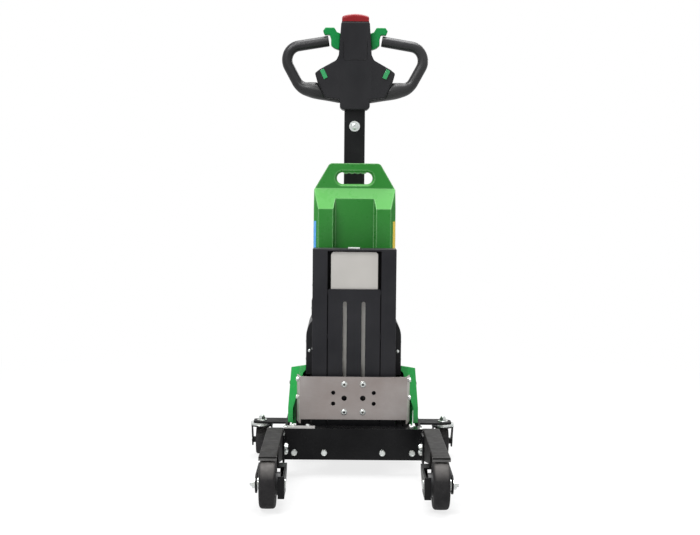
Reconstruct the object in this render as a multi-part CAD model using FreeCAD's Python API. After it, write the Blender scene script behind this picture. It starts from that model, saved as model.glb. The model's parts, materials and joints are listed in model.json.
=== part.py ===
import FreeCAD, Part
import math
import os

# Electric tow tractor: a walk-behind tug with a lifting hitch plate, in millimetres.
# +Z is up, -Y is the hitch side, +Y is the operator's side, and the origin is on the floor
# under the middle of the machine's length and width.

# ---- overall layout: stations along the machine and heights above the floor ----
CROSS_FRONT_DISTANCE = 294.0        # front axle to the cross member's front face
SIDE_CASTOR_DISTANCE = 512.0        # front axle to the castors' swivel axes
DRIVE_AXLE_DISTANCE = 540.0         # front axle to the driven axle
RUNNING_GAP = 0.3                   # between faces that slide or turn past each other
BEARING_GAP = 0.05                  # radial, between an axle and its bore
JOINT_GAP = 5.5                     # free air between moving pieces

# ---- front wheels, their forks and axles ----
FRONT_WHEEL_RADIUS = 55.0
FRONT_WHEEL_WIDTH = 36.0
FRONT_HUB_RADIUS = 27.0
FRONT_HUB_BOSS_RADIUS = 25.5
FRONT_HUB_BOSS_INNER = 161.5        # machine's middle to the boss's end inside the fork
FRONT_AXLE_RADIUS = 8.0
FRONT_TRACK_HALF = 190.0            # machine's middle to the middle of a front wheel
FORK_INNER = 152.5                  # machine's middle to the fork's inner and outer side
FORK_OUTER = 217.5
FORK_PLATE = 4.0
FORK_EYE_RADIUS = 21.0
FORK_SKIRT_BOTTOM = 29.0
FORK_SKIRT_FRONT = 35.0             # inner cheek's front edge in front of the axle
FORK_FLANGE_WIDTH = 14.5            # inner cheek's front edge folded towards the tyre
FORK_SKIRT_REAR = 34.0              # inner cheek's lower rear corner behind the axle
FORK_REAR_REACH = 101.0
FORK_TOP = 78.0
AXLE_HEAD_RADIUS = 11.0
AXLE_HEAD_HEIGHT = 7.0
AXLE_CAP_RADIUS = 11.0
AXLE_CAP_HEIGHT = 1.5
AXLE_COLLAR_RADIUS = 13.0

# ---- legs and cross member ----
LEG_WIDTH = 40.0
LEG_TOP = 119.5
LEG_TONGUE_THICKNESS = 4.0
LEG_TONGUE_REACH = 22.0             # tongue's tip in front of the axle
LEG_FRONT_WALL = 60.0               # full section's front face behind the axle
LEG_BOTTOM_REAR = 40.0
LEG_ROUND = 2.5
CROSS_TOP = 117.0
CROSS_BOTTOM = 40.0
CROSS_DEPTH = 40.0
CROSS_PLATE = 5.0
CROSS_TAB_LENGTH = 58.0
CROSS_BOLT_SPACINGS = (71.0, 144.0)  # from the middle to each pair of front bolts
CROSS_BOLT_HEIGHT = 58.0
CROSS_BOLT_HOLE_RADIUS = 4.2

# ---- base frame under the body ----
BASE_HALF_WIDTH = 84.0
BASE_PLATE = 6.0
BASE_BOTTOM = 50.0
BASE_REAR_DISTANCE = 635.0          # front axle to the back of the side plates
DECK_HEIGHT = 232.0
AXLE_TUBE_RADIUS = 22.0

# ---- drive ----
DRIVE_WHEEL_RADIUS = 110.0
DRIVE_WHEEL_WIDTH = 54.0
DRIVE_WHEEL_INNER = 92.0            # machine's middle to the wheel's inner side
DRIVE_TYRE_DEPTH = 34.0
DRIVE_RIM_WALL = 6.0
DRIVE_SHAFT_RADIUS = 12.0
DRIVE_SHAFT_DEPTH = 18.0
DRIVE_BLOCK_HALF_WIDTH = 72.0
DRIVE_BLOCK_LENGTH = 150.0
DRIVE_BLOCK_TOP = 196.0
MOTOR_RADIUS = 44.0
MOTOR_LENGTH = 46.0

# ---- side castors on their outriggers ----
CASTOR_SIDE = 237.0                 # machine's middle to the swivel axis
CASTOR_WHEEL_RADIUS = 37.5
CASTOR_WHEEL_WIDTH = 32.0
CASTOR_TRAIL = 26.0
CASTOR_FORK_HALF_WIDTH = 27.0
CASTOR_FORK_PLATE = 3.0
CASTOR_EYE_RADIUS = 16.0
CASTOR_AXLE_RADIUS = 4.0
CASTOR_PIN_RADIUS = 6.0
CASTOR_CROWN_THICKNESS = 3.0
CASTOR_CROWN_RADIUS = 29.5
CASTOR_LOWER_RACE_RADIUS = 25.0
CASTOR_UPPER_RACE_RADIUS = 29.0
CASTOR_LOWER_RACE_HEIGHT = 3.0
OUTRIGGER_PLATE_TOP = 95.0
OUTRIGGER_PLATE_THICKNESS = 5.0
OUTRIGGER_MARGIN = 21.0             # plate beyond the swivel axis
OUTRIGGER_PLATE_LENGTH = 58.0
OUTRIGGER_BAR_INNER = 163.5
OUTRIGGER_BAR_THICKNESS = 6.0
OUTRIGGER_BAR_BOTTOM = 84.5
PIN_NUT_HEIGHT = 9.0
PIN_NUT_RADIUS = 9.5

# ---- mast, its cover and the lifting carriage ----
MAST_HALF_WIDTH = 103.5
MAST_FRONT_DISTANCE = 350.0
MAST_DEPTH = 60.0
MAST_WALL = 6.0
MAST_MOUTH_HALF_WIDTH = 66.5
MAST_TOP = 553.5
MAST_CAP = 5.5
COVER_HALF_WIDTH = 64.5
COVER_TOP = 454.0
COVER_THICKNESS = 3.0
COVER_SETBACK = 2.0
COVER_CORNER_RADIUS = 3.0
COVER_TAB_HEIGHT = 10.0
COVER_TAB_COUNT = 4                 # on each side, between the cover and the rail
SLOT_SPACING = 46.0
SLOT_HALF_WIDTH = 4.7
SLOT_TOP = 423.0
LIGHT_PLATE_HALF_WIDTH = 58.0
LIGHT_PLATE_TOP = 546.0
LIGHT_PLATE_BOTTOM = 130.0
LIGHT_PLATE_THICKNESS = 4.0
LIGHT_PLATE_CORNER_CUT = 5.0
LIGHT_PLATE_HEAD_HEIGHT = 116.0     # upper part that stands forward to the cover's rear
STANDOFF_RADIUS = 7.0
STANDOFF_SIDE = 36.0                # machine's middle to a standoff
STANDOFF_MARGIN = 22.0              # standoff to the plate's upper or lower edge
SLIDER_BOTTOM = 150.0
SLIDER_HEIGHT = 76.0
SLIDER_DEPTH = 9.0

# ---- hitch plate ----
HITCH_HALF_WIDTH = 133.0
HITCH_BOTTOM = 133.0
HITCH_TOP = 239.0
HITCH_THICKNESS = 6.0
HITCH_FACE_DISTANCE = 330.0         # front axle to the plate's front face
HITCH_FLANGE_DEPTH = 40.0
HITCH_FLANGE_FLARE = 8.0
HITCH_FLANGE_DROP = 10.0
HITCH_BOLT_RISE = 34.5              # carriage bolts above and below the plate's middle
HITCH_BOLT_RADIUS = 4.0
HITCH_BOLT_HEAD_RADIUS = 7.0
HITCH_BOLT_HEAD_HEIGHT = 3.5
HITCH_SIDE_HOLE_SPACING = 100.0
HITCH_SIDE_HOLE_RISE = 27.0
HITCH_SIDE_HOLE_RADIUS = 5.25
HITCH_MIDDLE_HOLE_RADIUS = 6.75

# ---- body housing, rear panel and battery ----
HOUSING_HALF_WIDTH = 120.0
HOUSING_SHOULDER = 327.0
HOUSING_TOP = 372.0
HOUSING_TOP_HALF_WIDTH = 103.0
HOUSING_CROWN = (115.5, 352.0)      # point of the rounded shoulder between side and top
PANEL_THICKNESS = 6.0
PANEL_BOTTOM = 60.0
TRAY_WALL = 3.0
TRAY_SIDE_HEIGHT = 46.0
TRAY_BACK_HEIGHT = 110.0
BATTERY_FRONT_DISTANCE = 440.0
BATTERY_DEPTH = 130.0
BATTERY_HALF_WIDTH = 104.0
BATTERY_CORNER_CHAMFER = 12.0
BATTERY_TOP = 766.0
BATTERY_TOP_RADIUS = 12.0
BATTERY_HANDLE_HEIGHT = 64.0
BATTERY_SHOULDER_FALL = 52.0
BATTERY_HANDLE_DEPTH = 50.0
BATTERY_HANDLE_HALF_TOP = 64.5
BATTERY_HANDLE_HALF_BASE = 101.0
BATTERY_SLOT_HALF_WIDTH = 46.0
BATTERY_SLOT_RISE = 11.0            # slot's lower edge above the shoulders
BATTERY_SLOT_HEIGHT = 30.0
BATTERY_SLOT_BEVEL = 5.0
BATTERY_RECESS_HALF_FRONT = 54.5
BATTERY_RECESS_HALF_BACK = 49.5
BATTERY_RECESS_DROP = 16.5          # recess's upper edge below the shoulders' top
BATTERY_RECESS_DEPTH = 20.0
BATTERY_GAP = 0.5

# ---- green wheel covers ----
FENDER_FRONT_DISTANCE = 376.0
FENDER_LENGTH = 294.0
FENDER_HALF_WIDTH = 164.0
FENDER_TOP_HALF_WIDTH = 157.0
FENDER_INNER = 104.0
FENDER_BOTTOM = 113.0
FENDER_BREAK = 150.0
FENDER_TOP = 257.0
FENDER_TOP_FALL = 8.0               # top face lower at its outer edge than at the housing
FENDER_REAR_FALL = 34.0             # top face lower at its rear end than at its front
FENDER_FLAP_BOTTOM = 54.0           # rear wall runs down behind the wheel as a mud flap
FENDER_FLAP_DEPTH = 45.0
FENDER_FLAP_SLOPE_RUN = 20.0
FENDER_FACET_WIDTH = 26.0           # front corner cut that turns the band outward
FENDER_FACET_DEPTH = 17.0
FENDER_SLOPE_RUN = 46.0
FENDER_REAR_SLOPE_RUN = 50.0
FENDER_WALL = 3.0
FENDER_BAND_LOWER = 13.0            # width of the front band at its foot
FENDER_BAND_UPPER = 31.0            # width of the front band below its slanted inner corner
FENDER_BAND_CORNER = (14.0, 15.0)   # inner corner's run across and its rise
FENDER_BAND_HEAD = 6.0              # height of the strip above the opening

# ---- tiller and its bracket ----
TILLER_PIVOT_HEIGHT = 225.0
TILLER_SETBACK = 46.0               # rear panel's face to the pivot
TILLER_CHEEK_RADIUS = 38.0
TILLER_CHEEK_INNER = 34.0
TILLER_CHEEK_THICKNESS = 8.0
TILLER_PIN_RADIUS = 8.0
TILLER_BASE_HALF_WIDTH = 55.0
TILLER_BASE_BOTTOM = 150.0
TILLER_BASE_TOP = 296.0
TILLER_BAR_WIDTH = 56.0
TILLER_BAR_DEPTH = 30.0
TILLER_BAR_WALL = 3.0
TILLER_BAR_BELOW_PIVOT = 30.0
TILLER_BOSS_RADIUS = 17.0
STOP_HEIGHT = 305.0
STOP_RADIUS = 14.0

# ---- tiller head ----
HEAD_TOP = 1146.5
HEAD_HEIGHT = 233.5
HEAD_DEPTH = 62.0
HEAD_SHOULDER_DEPTH = 42.0          # at the shoulders' tips, where both faces have fallen back
HEAD_SHOULDER_RISE = 98.0           # head's foot to the shoulders' tips
HEAD_SHOULDER_HALF_WIDTH = 108.5
HEAD_COLUMN_HALF_WIDTH = 38.5
HEAD_NECK_HALF_WIDTH = 33.0
HEAD_CORNER_RADIUS = 4.0
# right half of the head's outline between its foot and its top: distance from the machine's
# middle and height above the shoulders
HEAD_OUTLINE = ((40.5, -91.0), (40.5, -71.0), (81.0, -67.5), (92.5, -44.0), (100.0, -30.0),
                (108.5, 0.0), (96.0, 10.0), (51.0, 34.5), (44.5, 48.0))
BELLY_BUTTON_HEIGHT = 22.5
BELLY_BUTTON_HALF_WIDTH = 36.5
BELLY_BUTTON_MARGIN = 3.0
BELLY_BUTTON_SIDE_HEIGHT = 16.0     # crowned top's height at its left and right ends
BELLY_BUTTON_ROUND = 7.0
HANDLE_TUBE_RADIUS = 14.5
HANDLE_ROOT_RADIUS = 22.5
HANDLE_SWELL_SHARE = 0.5            # part of the lower run over which the grip swells
HANDLE_SWELL_STEPS = 4              # rings along each edge of the lower run
# grip's middle line: distance from the machine's middle and height above the head's shoulders
HANDLE_TIP = (71.5, 87.5)
HANDLE_UPPER_BEND = (179.0, 69.6)
HANDLE_OUTER_BEND = (185.5, 29.0)
HANDLE_LOWER_BEND = (148.4, -39.0)
HANDLE_ROOT = (36.0, -57.0)
HANDLE_BEND_RADII = (36.0, 40.0, 40.0)
LEVER_DEPTH = 24.0
# thumb lever's outline outside the column: distance from the middle, drop below the head's top
LEVER_OUTLINE = ((57.0, 67.5), (65.5, 60.5), (65.5, 43.5), (69.0, 32.0), (83.0, 32.5),
                 (87.5, 21.5), (81.0, 12.5), (57.0, 12.5), (50.0, 24.5))
LEVER_ROOT_DROPS = (74.5, 28.5)     # lever's lower and upper edge at the column
PUSH_BUTTON_SIDE = 84.0             # machine's middle to a push button
PUSH_BUTTON_DROP = 3.0              # below the shoulders' tips
PUSH_BUTTON_WIDTH = 12.0
PUSH_BUTTON_LENGTH = 26.0
PUSH_BUTTON_PROUD = 3.0
PUSH_BUTTON_LEAN = 25.0             # degrees from upright

# ---- controls on the rear panel ----
PANEL_CONTROL_SIDE = 85.0           # machine's middle to the key switch and the gauge
PANEL_CONTROL_HEIGHT = 290.0
KEY_COLLAR_RADIUS = 11.0
KEY_COLLAR_DEPTH = 5.0
KEY_THICKNESS = 3.2
KEY_LENGTH = 18.0
KEY_DEPTH = 11.0
GAUGE_SIZE = 36.0
GAUGE_DEPTH = 4.0
GAUGE_CORNER_RADIUS = 5.0

# ---- derived stations ----
MACHINE_LENGTH = (FRONT_WHEEL_RADIUS + BASE_REAR_DISTANCE + PANEL_THICKNESS
                  + TILLER_SETBACK + TILLER_CHEEK_RADIUS)
FRONT_AXLE_Y = FRONT_WHEEL_RADIUS - MACHINE_LENGTH / 2
CROSS_Y = FRONT_AXLE_Y + CROSS_FRONT_DISTANCE
CASTOR_Y = FRONT_AXLE_Y + SIDE_CASTOR_DISTANCE
DRIVE_Y = FRONT_AXLE_Y + DRIVE_AXLE_DISTANCE
MAST_Y = FRONT_AXLE_Y + MAST_FRONT_DISTANCE
HITCH_Y = FRONT_AXLE_Y + HITCH_FACE_DISTANCE
BASE_REAR_Y = FRONT_AXLE_Y + BASE_REAR_DISTANCE
BATTERY_Y = FRONT_AXLE_Y + BATTERY_FRONT_DISTANCE
FENDER_Y = FRONT_AXLE_Y + FENDER_FRONT_DISTANCE
TILLER_Y = BASE_REAR_Y + PANEL_THICKNESS + TILLER_SETBACK
CROSS_HALF_WIDTH = FRONT_TRACK_HALF - LEG_WIDTH / 2
BATTERY_SHOULDER_TOP = BATTERY_TOP - BATTERY_HANDLE_HEIGHT
BATTERY_SHOULDER_BOTTOM = BATTERY_SHOULDER_TOP - BATTERY_SHOULDER_FALL
BATTERY_SLOT_BOTTOM = BATTERY_SHOULDER_TOP + BATTERY_SLOT_RISE
BATTERY_RECESS_TOP = BATTERY_SHOULDER_TOP - BATTERY_RECESS_DROP
HEAD_BOTTOM = HEAD_TOP - HEAD_HEIGHT
HEAD_SHOULDER_HEIGHT = HEAD_BOTTOM + HEAD_SHOULDER_RISE
SLIDER_Y = MAST_Y + COVER_SETBACK + COVER_THICKNESS + JOINT_GAP
LIGHT_PLATE_Y = SLIDER_Y + SLIDER_DEPTH + JOINT_GAP
CASTOR_CROWN_BOTTOM = 2 * CASTOR_WHEEL_RADIUS + JOINT_GAP
MAST_BASE = CROSS_TOP - CROSS_PLATE
BATTERY_BOTTOM = HOUSING_TOP + TRAY_WALL
SIDES = (("left", -1), ("right", 1))


def box(x0, x1, y0, y1, z0, z1):
    low = FreeCAD.Vector(min(x0, x1), min(y0, y1), min(z0, z1))
    return Part.makeBox(abs(x1 - x0), abs(y1 - y0), abs(z1 - z0), low)


def rod(axis, radius, start, end, a, b):
    """Cylinder along X, Y or Z from start to end; a and b are its other two coordinates in order."""
    place = {"x": (start, a, b), "y": (a, start, b), "z": (a, b, start)}[axis]
    way = {"x": (1, 0, 0), "y": (0, 1, 0), "z": (0, 0, 1)}[axis]
    sign = 1 if end > start else -1
    direction = FreeCAD.Vector(*way) * sign
    return Part.makeCylinder(radius, abs(end - start), FreeCAD.Vector(*place), direction)


def hexagon(axis, radius, start, end, a, b):
    """Hexagonal prism along X or Z, with radius to its corners."""
    points = []
    for k in range(7):
        u = radius * math.cos(math.radians(60 * k + 30))
        v = radius * math.sin(math.radians(60 * k + 30))
        points.append((start, a + u, b + v) if axis == "x" else (a + u, b + v, start))
    face = Part.Face(Part.makePolygon([FreeCAD.Vector(*p) for p in points]))
    length = end - start
    return face.extrude(FreeCAD.Vector(length, 0, 0) if axis == "x" else FreeCAD.Vector(0, 0, length))


def side_profile(points, x0, x1):
    """Solid of a (y, z) outline, extruded along X from x0 to x1."""
    ring = [FreeCAD.Vector(x0, y, z) for y, z in points]
    return Part.Face(Part.makePolygon(ring + ring[:1])).extrude(FreeCAD.Vector(x1 - x0, 0, 0))


def front_profile(points, y0, y1):
    """Solid of an (x, z) outline, extruded along Y from y0 to y1."""
    ring = [FreeCAD.Vector(x, y0, z) for x, z in points]
    return Part.Face(Part.makePolygon(ring + ring[:1])).extrude(FreeCAD.Vector(0, y1 - y0, 0))


def plan_profile(points, z0, z1):
    """Solid of an (x, y) outline, extruded up from z0 to z1."""
    ring = [FreeCAD.Vector(x, y, z0) for x, y in points]
    return Part.Face(Part.makePolygon(ring + ring[:1])).extrude(FreeCAD.Vector(0, 0, z1 - z0))


def round_edges(shape, radius, wanted):
    """Fillet the edges that wanted(edge) picks."""
    return shape.makeFillet(radius, [edge for edge in shape.Edges if wanted(edge)])


def runs_along(edge, axis):
    box_of_edge = edge.BoundBox
    spans = {"x": box_of_edge.XLength, "y": box_of_edge.YLength, "z": box_of_edge.ZLength}
    length = spans.pop(axis)
    return length > 0.5 and max(spans.values()) < 0.01


def eyed_plate(x0, x1, eye_y, eye_z, eye_radius, tail):
    """Plate with a round eye at (eye_y, eye_z), joined to the tail's two (y, z) corners by tangents."""
    eye = rod("x", eye_radius, x0, x1, eye_y, eye_z)
    plate = eye
    upper, lower = tail
    for corner, turn in ((upper, 1), (lower, -1)):
        dy = corner[0] - eye_y
        dz = corner[1] - eye_z
        distance = math.hypot(dy, dz)
        lean = math.atan2(dz, dy) + turn * math.acos(eye_radius / distance)
        touch = (eye_y + eye_radius * math.cos(lean), eye_z + eye_radius * math.sin(lean))
        plate = plate.fuse(side_profile([(eye_y, eye_z), touch, corner], x0, x1))
    plate = plate.fuse(side_profile([(eye_y, eye_z), upper, lower], x0, x1))
    return plate.removeSplitter()


def mirrored(shape, sign):
    """The shape for the right side (sign 1), or its mirror image for the left side."""
    if sign > 0:
        return shape
    return shape.mirror(FreeCAD.Vector(0, 0, 0), FreeCAD.Vector(1, 0, 0))


# ---- chassis ----
def cross_member():
    """Folded channel, open to the rear, with closed ends and two tabs forward along the legs."""
    rear = CROSS_Y + CROSS_DEPTH
    shape = box(-CROSS_HALF_WIDTH, CROSS_HALF_WIDTH, CROSS_Y, rear, CROSS_BOTTOM, CROSS_TOP)
    shape = shape.cut(box(-CROSS_HALF_WIDTH + CROSS_PLATE, CROSS_HALF_WIDTH - CROSS_PLATE,
                          CROSS_Y + CROSS_PLATE, rear,
                          CROSS_BOTTOM + CROSS_PLATE, CROSS_TOP - CROSS_PLATE))
    for sign in (-1, 1):
        tab = box(sign * (CROSS_HALF_WIDTH - CROSS_PLATE), sign * CROSS_HALF_WIDTH,
                  CROSS_Y - CROSS_TAB_LENGTH, CROSS_Y,
                  CROSS_BOTTOM + CROSS_PLATE, CROSS_TOP - CROSS_PLATE)
        shape = shape.fuse(tab)
        for spacing in CROSS_BOLT_SPACINGS:
            shape = shape.cut(rod("y", CROSS_BOLT_HOLE_RADIUS, CROSS_Y, CROSS_Y + CROSS_PLATE,
                                  sign * spacing, CROSS_BOLT_HEIGHT))
    return shape.removeSplitter()


def leg():
    """Tapered box leg: deep at the cross member, with a tongue over the wheel at its tip."""
    fork_rear = FRONT_AXLE_Y + FORK_REAR_REACH
    wall = FRONT_AXLE_Y + LEG_FRONT_WALL
    tip = FRONT_AXLE_Y - LEG_TONGUE_REACH
    tongue = LEG_TOP - LEG_TONGUE_THICKNESS
    outline = [(CROSS_Y, LEG_BOTTOM_REAR), (fork_rear, FORK_TOP), (wall, FORK_TOP),
               (wall, tongue), (tip, tongue), (tip, LEG_TOP), (CROSS_Y, LEG_TOP)]
    inner = FRONT_TRACK_HALF - LEG_WIDTH / 2
    shape = side_profile(outline, inner, inner + LEG_WIDTH)
    return round_edges(shape, LEG_ROUND, lambda edge: (
        runs_along(edge, "y") and abs(edge.BoundBox.ZMax - LEG_TOP) < 0.01))


def fork():
    """Crown plate under the leg, with an eyed outer cheek and a straight-edged inner cheek."""
    rear = FRONT_AXLE_Y + FORK_REAR_REACH
    crown_front = FRONT_AXLE_Y + LEG_FRONT_WALL
    tail_bottom = FORK_TOP - 3 * FORK_PLATE
    crown = box(FORK_INNER, FORK_OUTER, crown_front, rear, FORK_TOP - FORK_PLATE, FORK_TOP)
    outer = eyed_plate(FORK_OUTER - FORK_PLATE, FORK_OUTER, FRONT_AXLE_Y, FRONT_WHEEL_RADIUS,
                       FORK_EYE_RADIUS, ((rear, FORK_TOP), (rear, tail_bottom)))
    front = FRONT_AXLE_Y - FORK_SKIRT_FRONT
    inner = side_profile([(front, FORK_SKIRT_BOTTOM), (FRONT_AXLE_Y + FORK_SKIRT_REAR, FORK_SKIRT_BOTTOM),
                          (rear, tail_bottom), (rear, FORK_TOP), (front, FORK_TOP)],
                         FORK_INNER, FORK_INNER + FORK_PLATE)
    flange = box(FORK_INNER, FORK_INNER + FORK_FLANGE_WIDTH, front, front + FORK_PLATE,
                 FORK_SKIRT_BOTTOM, FORK_TOP)
    bore = rod("x", FRONT_AXLE_RADIUS + BEARING_GAP, FORK_INNER, FORK_OUTER,
               FRONT_AXLE_Y, FRONT_WHEEL_RADIUS)
    return crown.fuse(outer).fuse(inner).fuse(flange).cut(bore).removeSplitter()


def front_axle():
    """Axle bolt with its head, a flat inner cap and the two collars that centre the wheel."""
    place = (FRONT_AXLE_Y, FRONT_WHEEL_RADIUS)
    shape = rod("x", FRONT_AXLE_RADIUS, FORK_INNER, FORK_OUTER + AXLE_HEAD_HEIGHT, *place)
    shape = shape.fuse(rod("x", AXLE_CAP_RADIUS, FORK_INNER - AXLE_CAP_HEIGHT, FORK_INNER, *place))
    shape = shape.fuse(hexagon("x", AXLE_HEAD_RADIUS, FORK_OUTER, FORK_OUTER + AXLE_HEAD_HEIGHT, *place))
    tyre_outer = FRONT_TRACK_HALF + FRONT_WHEEL_WIDTH / 2
    for start, end in ((FORK_INNER + FORK_PLATE, FRONT_HUB_BOSS_INNER - RUNNING_GAP),
                       (tyre_outer + RUNNING_GAP, FORK_OUTER - FORK_PLATE)):
        shape = shape.fuse(rod("x", AXLE_COLLAR_RADIUS, start, end, *place))
    return shape.removeSplitter()


def ring_x(outer_radius, inner_radius, x0, x1, y, z):
    return rod("x", outer_radius, x0, x1, y, z).cut(rod("x", inner_radius, x0, x1, y, z))


def front_tyre():
    x0 = FRONT_TRACK_HALF - FRONT_WHEEL_WIDTH / 2
    return ring_x(FRONT_WHEEL_RADIUS, FRONT_HUB_RADIUS, x0, x0 + FRONT_WHEEL_WIDTH,
                  FRONT_AXLE_Y, FRONT_WHEEL_RADIUS)


def front_hub():
    """Hub inside the tyre, with a boss that fills the fork's wider inner side."""
    x0 = FRONT_TRACK_HALF - FRONT_WHEEL_WIDTH / 2
    bore = FRONT_AXLE_RADIUS + BEARING_GAP
    place = (FRONT_AXLE_Y, FRONT_WHEEL_RADIUS)
    shape = ring_x(FRONT_HUB_RADIUS, bore, x0, x0 + FRONT_WHEEL_WIDTH, *place)
    return shape.fuse(ring_x(FRONT_HUB_BOSS_RADIUS, bore, FRONT_HUB_BOSS_INNER, x0, *place)).removeSplitter()


def base_frame():
    """Two side plates on a bottom plate; their low noses reach into the cross member."""
    nose = CROSS_Y + CROSS_PLATE
    mast_rear = MAST_Y + MAST_DEPTH
    outline = [(nose, BASE_BOTTOM), (BASE_REAR_Y, BASE_BOTTOM), (BASE_REAR_Y, DECK_HEIGHT),
               (mast_rear, DECK_HEIGHT), (mast_rear, MAST_BASE), (nose, MAST_BASE)]
    shape = box(-BASE_HALF_WIDTH, BASE_HALF_WIDTH, CROSS_Y + CROSS_DEPTH, BASE_REAR_Y,
                BASE_BOTTOM, BASE_BOTTOM + BASE_PLATE)
    for sign in (-1, 1):
        plate = side_profile(outline, sign * (BASE_HALF_WIDTH - BASE_PLATE), sign * BASE_HALF_WIDTH)
        shape = shape.fuse(plate)
    shape = shape.cut(rod("x", AXLE_TUBE_RADIUS, -BASE_HALF_WIDTH, BASE_HALF_WIDTH,
                          DRIVE_Y, DRIVE_WHEEL_RADIUS))
    return shape.removeSplitter()


def drive_unit():
    """Motor and axle as one plain block, with an axle tube to each drive wheel."""
    half = DRIVE_BLOCK_LENGTH / 2
    floor = BASE_BOTTOM + BASE_PLATE
    shape = box(-DRIVE_BLOCK_HALF_WIDTH, DRIVE_BLOCK_HALF_WIDTH, DRIVE_Y - half, DRIVE_Y + half,
                floor, DRIVE_BLOCK_TOP)
    shape = shape.fuse(rod("y", MOTOR_RADIUS, DRIVE_Y - half - MOTOR_LENGTH, DRIVE_Y - half,
                           0, floor + MOTOR_RADIUS))
    end = DRIVE_WHEEL_INNER - RUNNING_GAP
    for sign in (-1, 1):
        shape = shape.fuse(rod("x", AXLE_TUBE_RADIUS, sign * DRIVE_BLOCK_HALF_WIDTH, sign * end,
                               DRIVE_Y, DRIVE_WHEEL_RADIUS))
        shape = shape.cut(rod("x", DRIVE_SHAFT_RADIUS + BEARING_GAP,
                              sign * (end - DRIVE_SHAFT_DEPTH - RUNNING_GAP), sign * end,
                              DRIVE_Y, DRIVE_WHEEL_RADIUS))
    return shape.removeSplitter()


def drive_tyre():
    return ring_x(DRIVE_WHEEL_RADIUS, DRIVE_WHEEL_RADIUS - DRIVE_TYRE_DEPTH, DRIVE_WHEEL_INNER,
                  DRIVE_WHEEL_INNER + DRIVE_WHEEL_WIDTH, DRIVE_Y, DRIVE_WHEEL_RADIUS)


def drive_rim():
    """Rim, web disc and shaft stub of a drive wheel."""
    radius = DRIVE_WHEEL_RADIUS - DRIVE_TYRE_DEPTH
    wall = DRIVE_RIM_WALL
    x0 = DRIVE_WHEEL_INNER
    x1 = x0 + DRIVE_WHEEL_WIDTH
    place = (DRIVE_Y, DRIVE_WHEEL_RADIUS)
    shape = ring_x(radius, radius - wall, x0, x1, *place)
    middle = (x0 + x1) / 2
    shape = shape.fuse(rod("x", radius - wall, middle - wall, middle + wall, *place))
    shape = shape.fuse(rod("x", AXLE_TUBE_RADIUS, x0, x1 - wall, *place))
    shape = shape.fuse(rod("x", DRIVE_SHAFT_RADIUS, x0 - DRIVE_SHAFT_DEPTH, x0, *place))
    return shape.removeSplitter()


# ---- outriggers and castors ----
def outrigger():
    """Side bar from the cross member, with a top plate that carries the castor."""
    half = OUTRIGGER_PLATE_LENGTH / 2
    reach = CASTOR_SIDE + OUTRIGGER_MARGIN
    plate_bottom = OUTRIGGER_PLATE_TOP - OUTRIGGER_PLATE_THICKNESS
    bar_outer = OUTRIGGER_BAR_INNER + OUTRIGGER_BAR_THICKNESS
    nose_outer = CROSS_HALF_WIDTH - CROSS_PLATE
    bar = box(OUTRIGGER_BAR_INNER, bar_outer, CROSS_Y + CROSS_DEPTH, CASTOR_Y + half,
              OUTRIGGER_BAR_BOTTOM, MAST_BASE)
    nose = box(nose_outer - OUTRIGGER_BAR_THICKNESS, nose_outer, CROSS_Y + CROSS_PLATE,
               CROSS_Y + CROSS_DEPTH + OUTRIGGER_BAR_THICKNESS, OUTRIGGER_BAR_BOTTOM, MAST_BASE)
    plate = plan_profile([(OUTRIGGER_BAR_INNER, CASTOR_Y - half), (CASTOR_SIDE, CASTOR_Y - half),
                          (reach, CASTOR_Y - half / 2), (reach, CASTOR_Y + half / 2),
                          (CASTOR_SIDE, CASTOR_Y + half), (OUTRIGGER_BAR_INNER, CASTOR_Y + half)],
                         plate_bottom, OUTRIGGER_PLATE_TOP)
    shape = bar.fuse(nose).fuse(plate)
    return shape.cut(rod("z", CASTOR_PIN_RADIUS + BEARING_GAP, plate_bottom, OUTRIGGER_PLATE_TOP,
                         CASTOR_SIDE, CASTOR_Y)).removeSplitter()


def castor_head():
    """Fixed upper race with the king pin through the plate and its nut on top."""
    lower = CASTOR_CROWN_BOTTOM + CASTOR_CROWN_THICKNESS + CASTOR_LOWER_RACE_HEIGHT + RUNNING_GAP
    plate_bottom = OUTRIGGER_PLATE_TOP - OUTRIGGER_PLATE_THICKNESS
    place = (CASTOR_SIDE, CASTOR_Y)
    shape = rod("z", CASTOR_UPPER_RACE_RADIUS, lower, plate_bottom, *place)
    shape = shape.fuse(rod("z", CASTOR_PIN_RADIUS, CASTOR_CROWN_BOTTOM,
                           OUTRIGGER_PLATE_TOP + PIN_NUT_HEIGHT, *place))
    shape = shape.fuse(hexagon("z", PIN_NUT_RADIUS, OUTRIGGER_PLATE_TOP,
                               OUTRIGGER_PLATE_TOP + PIN_NUT_HEIGHT, *place))
    return shape.removeSplitter()


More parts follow.
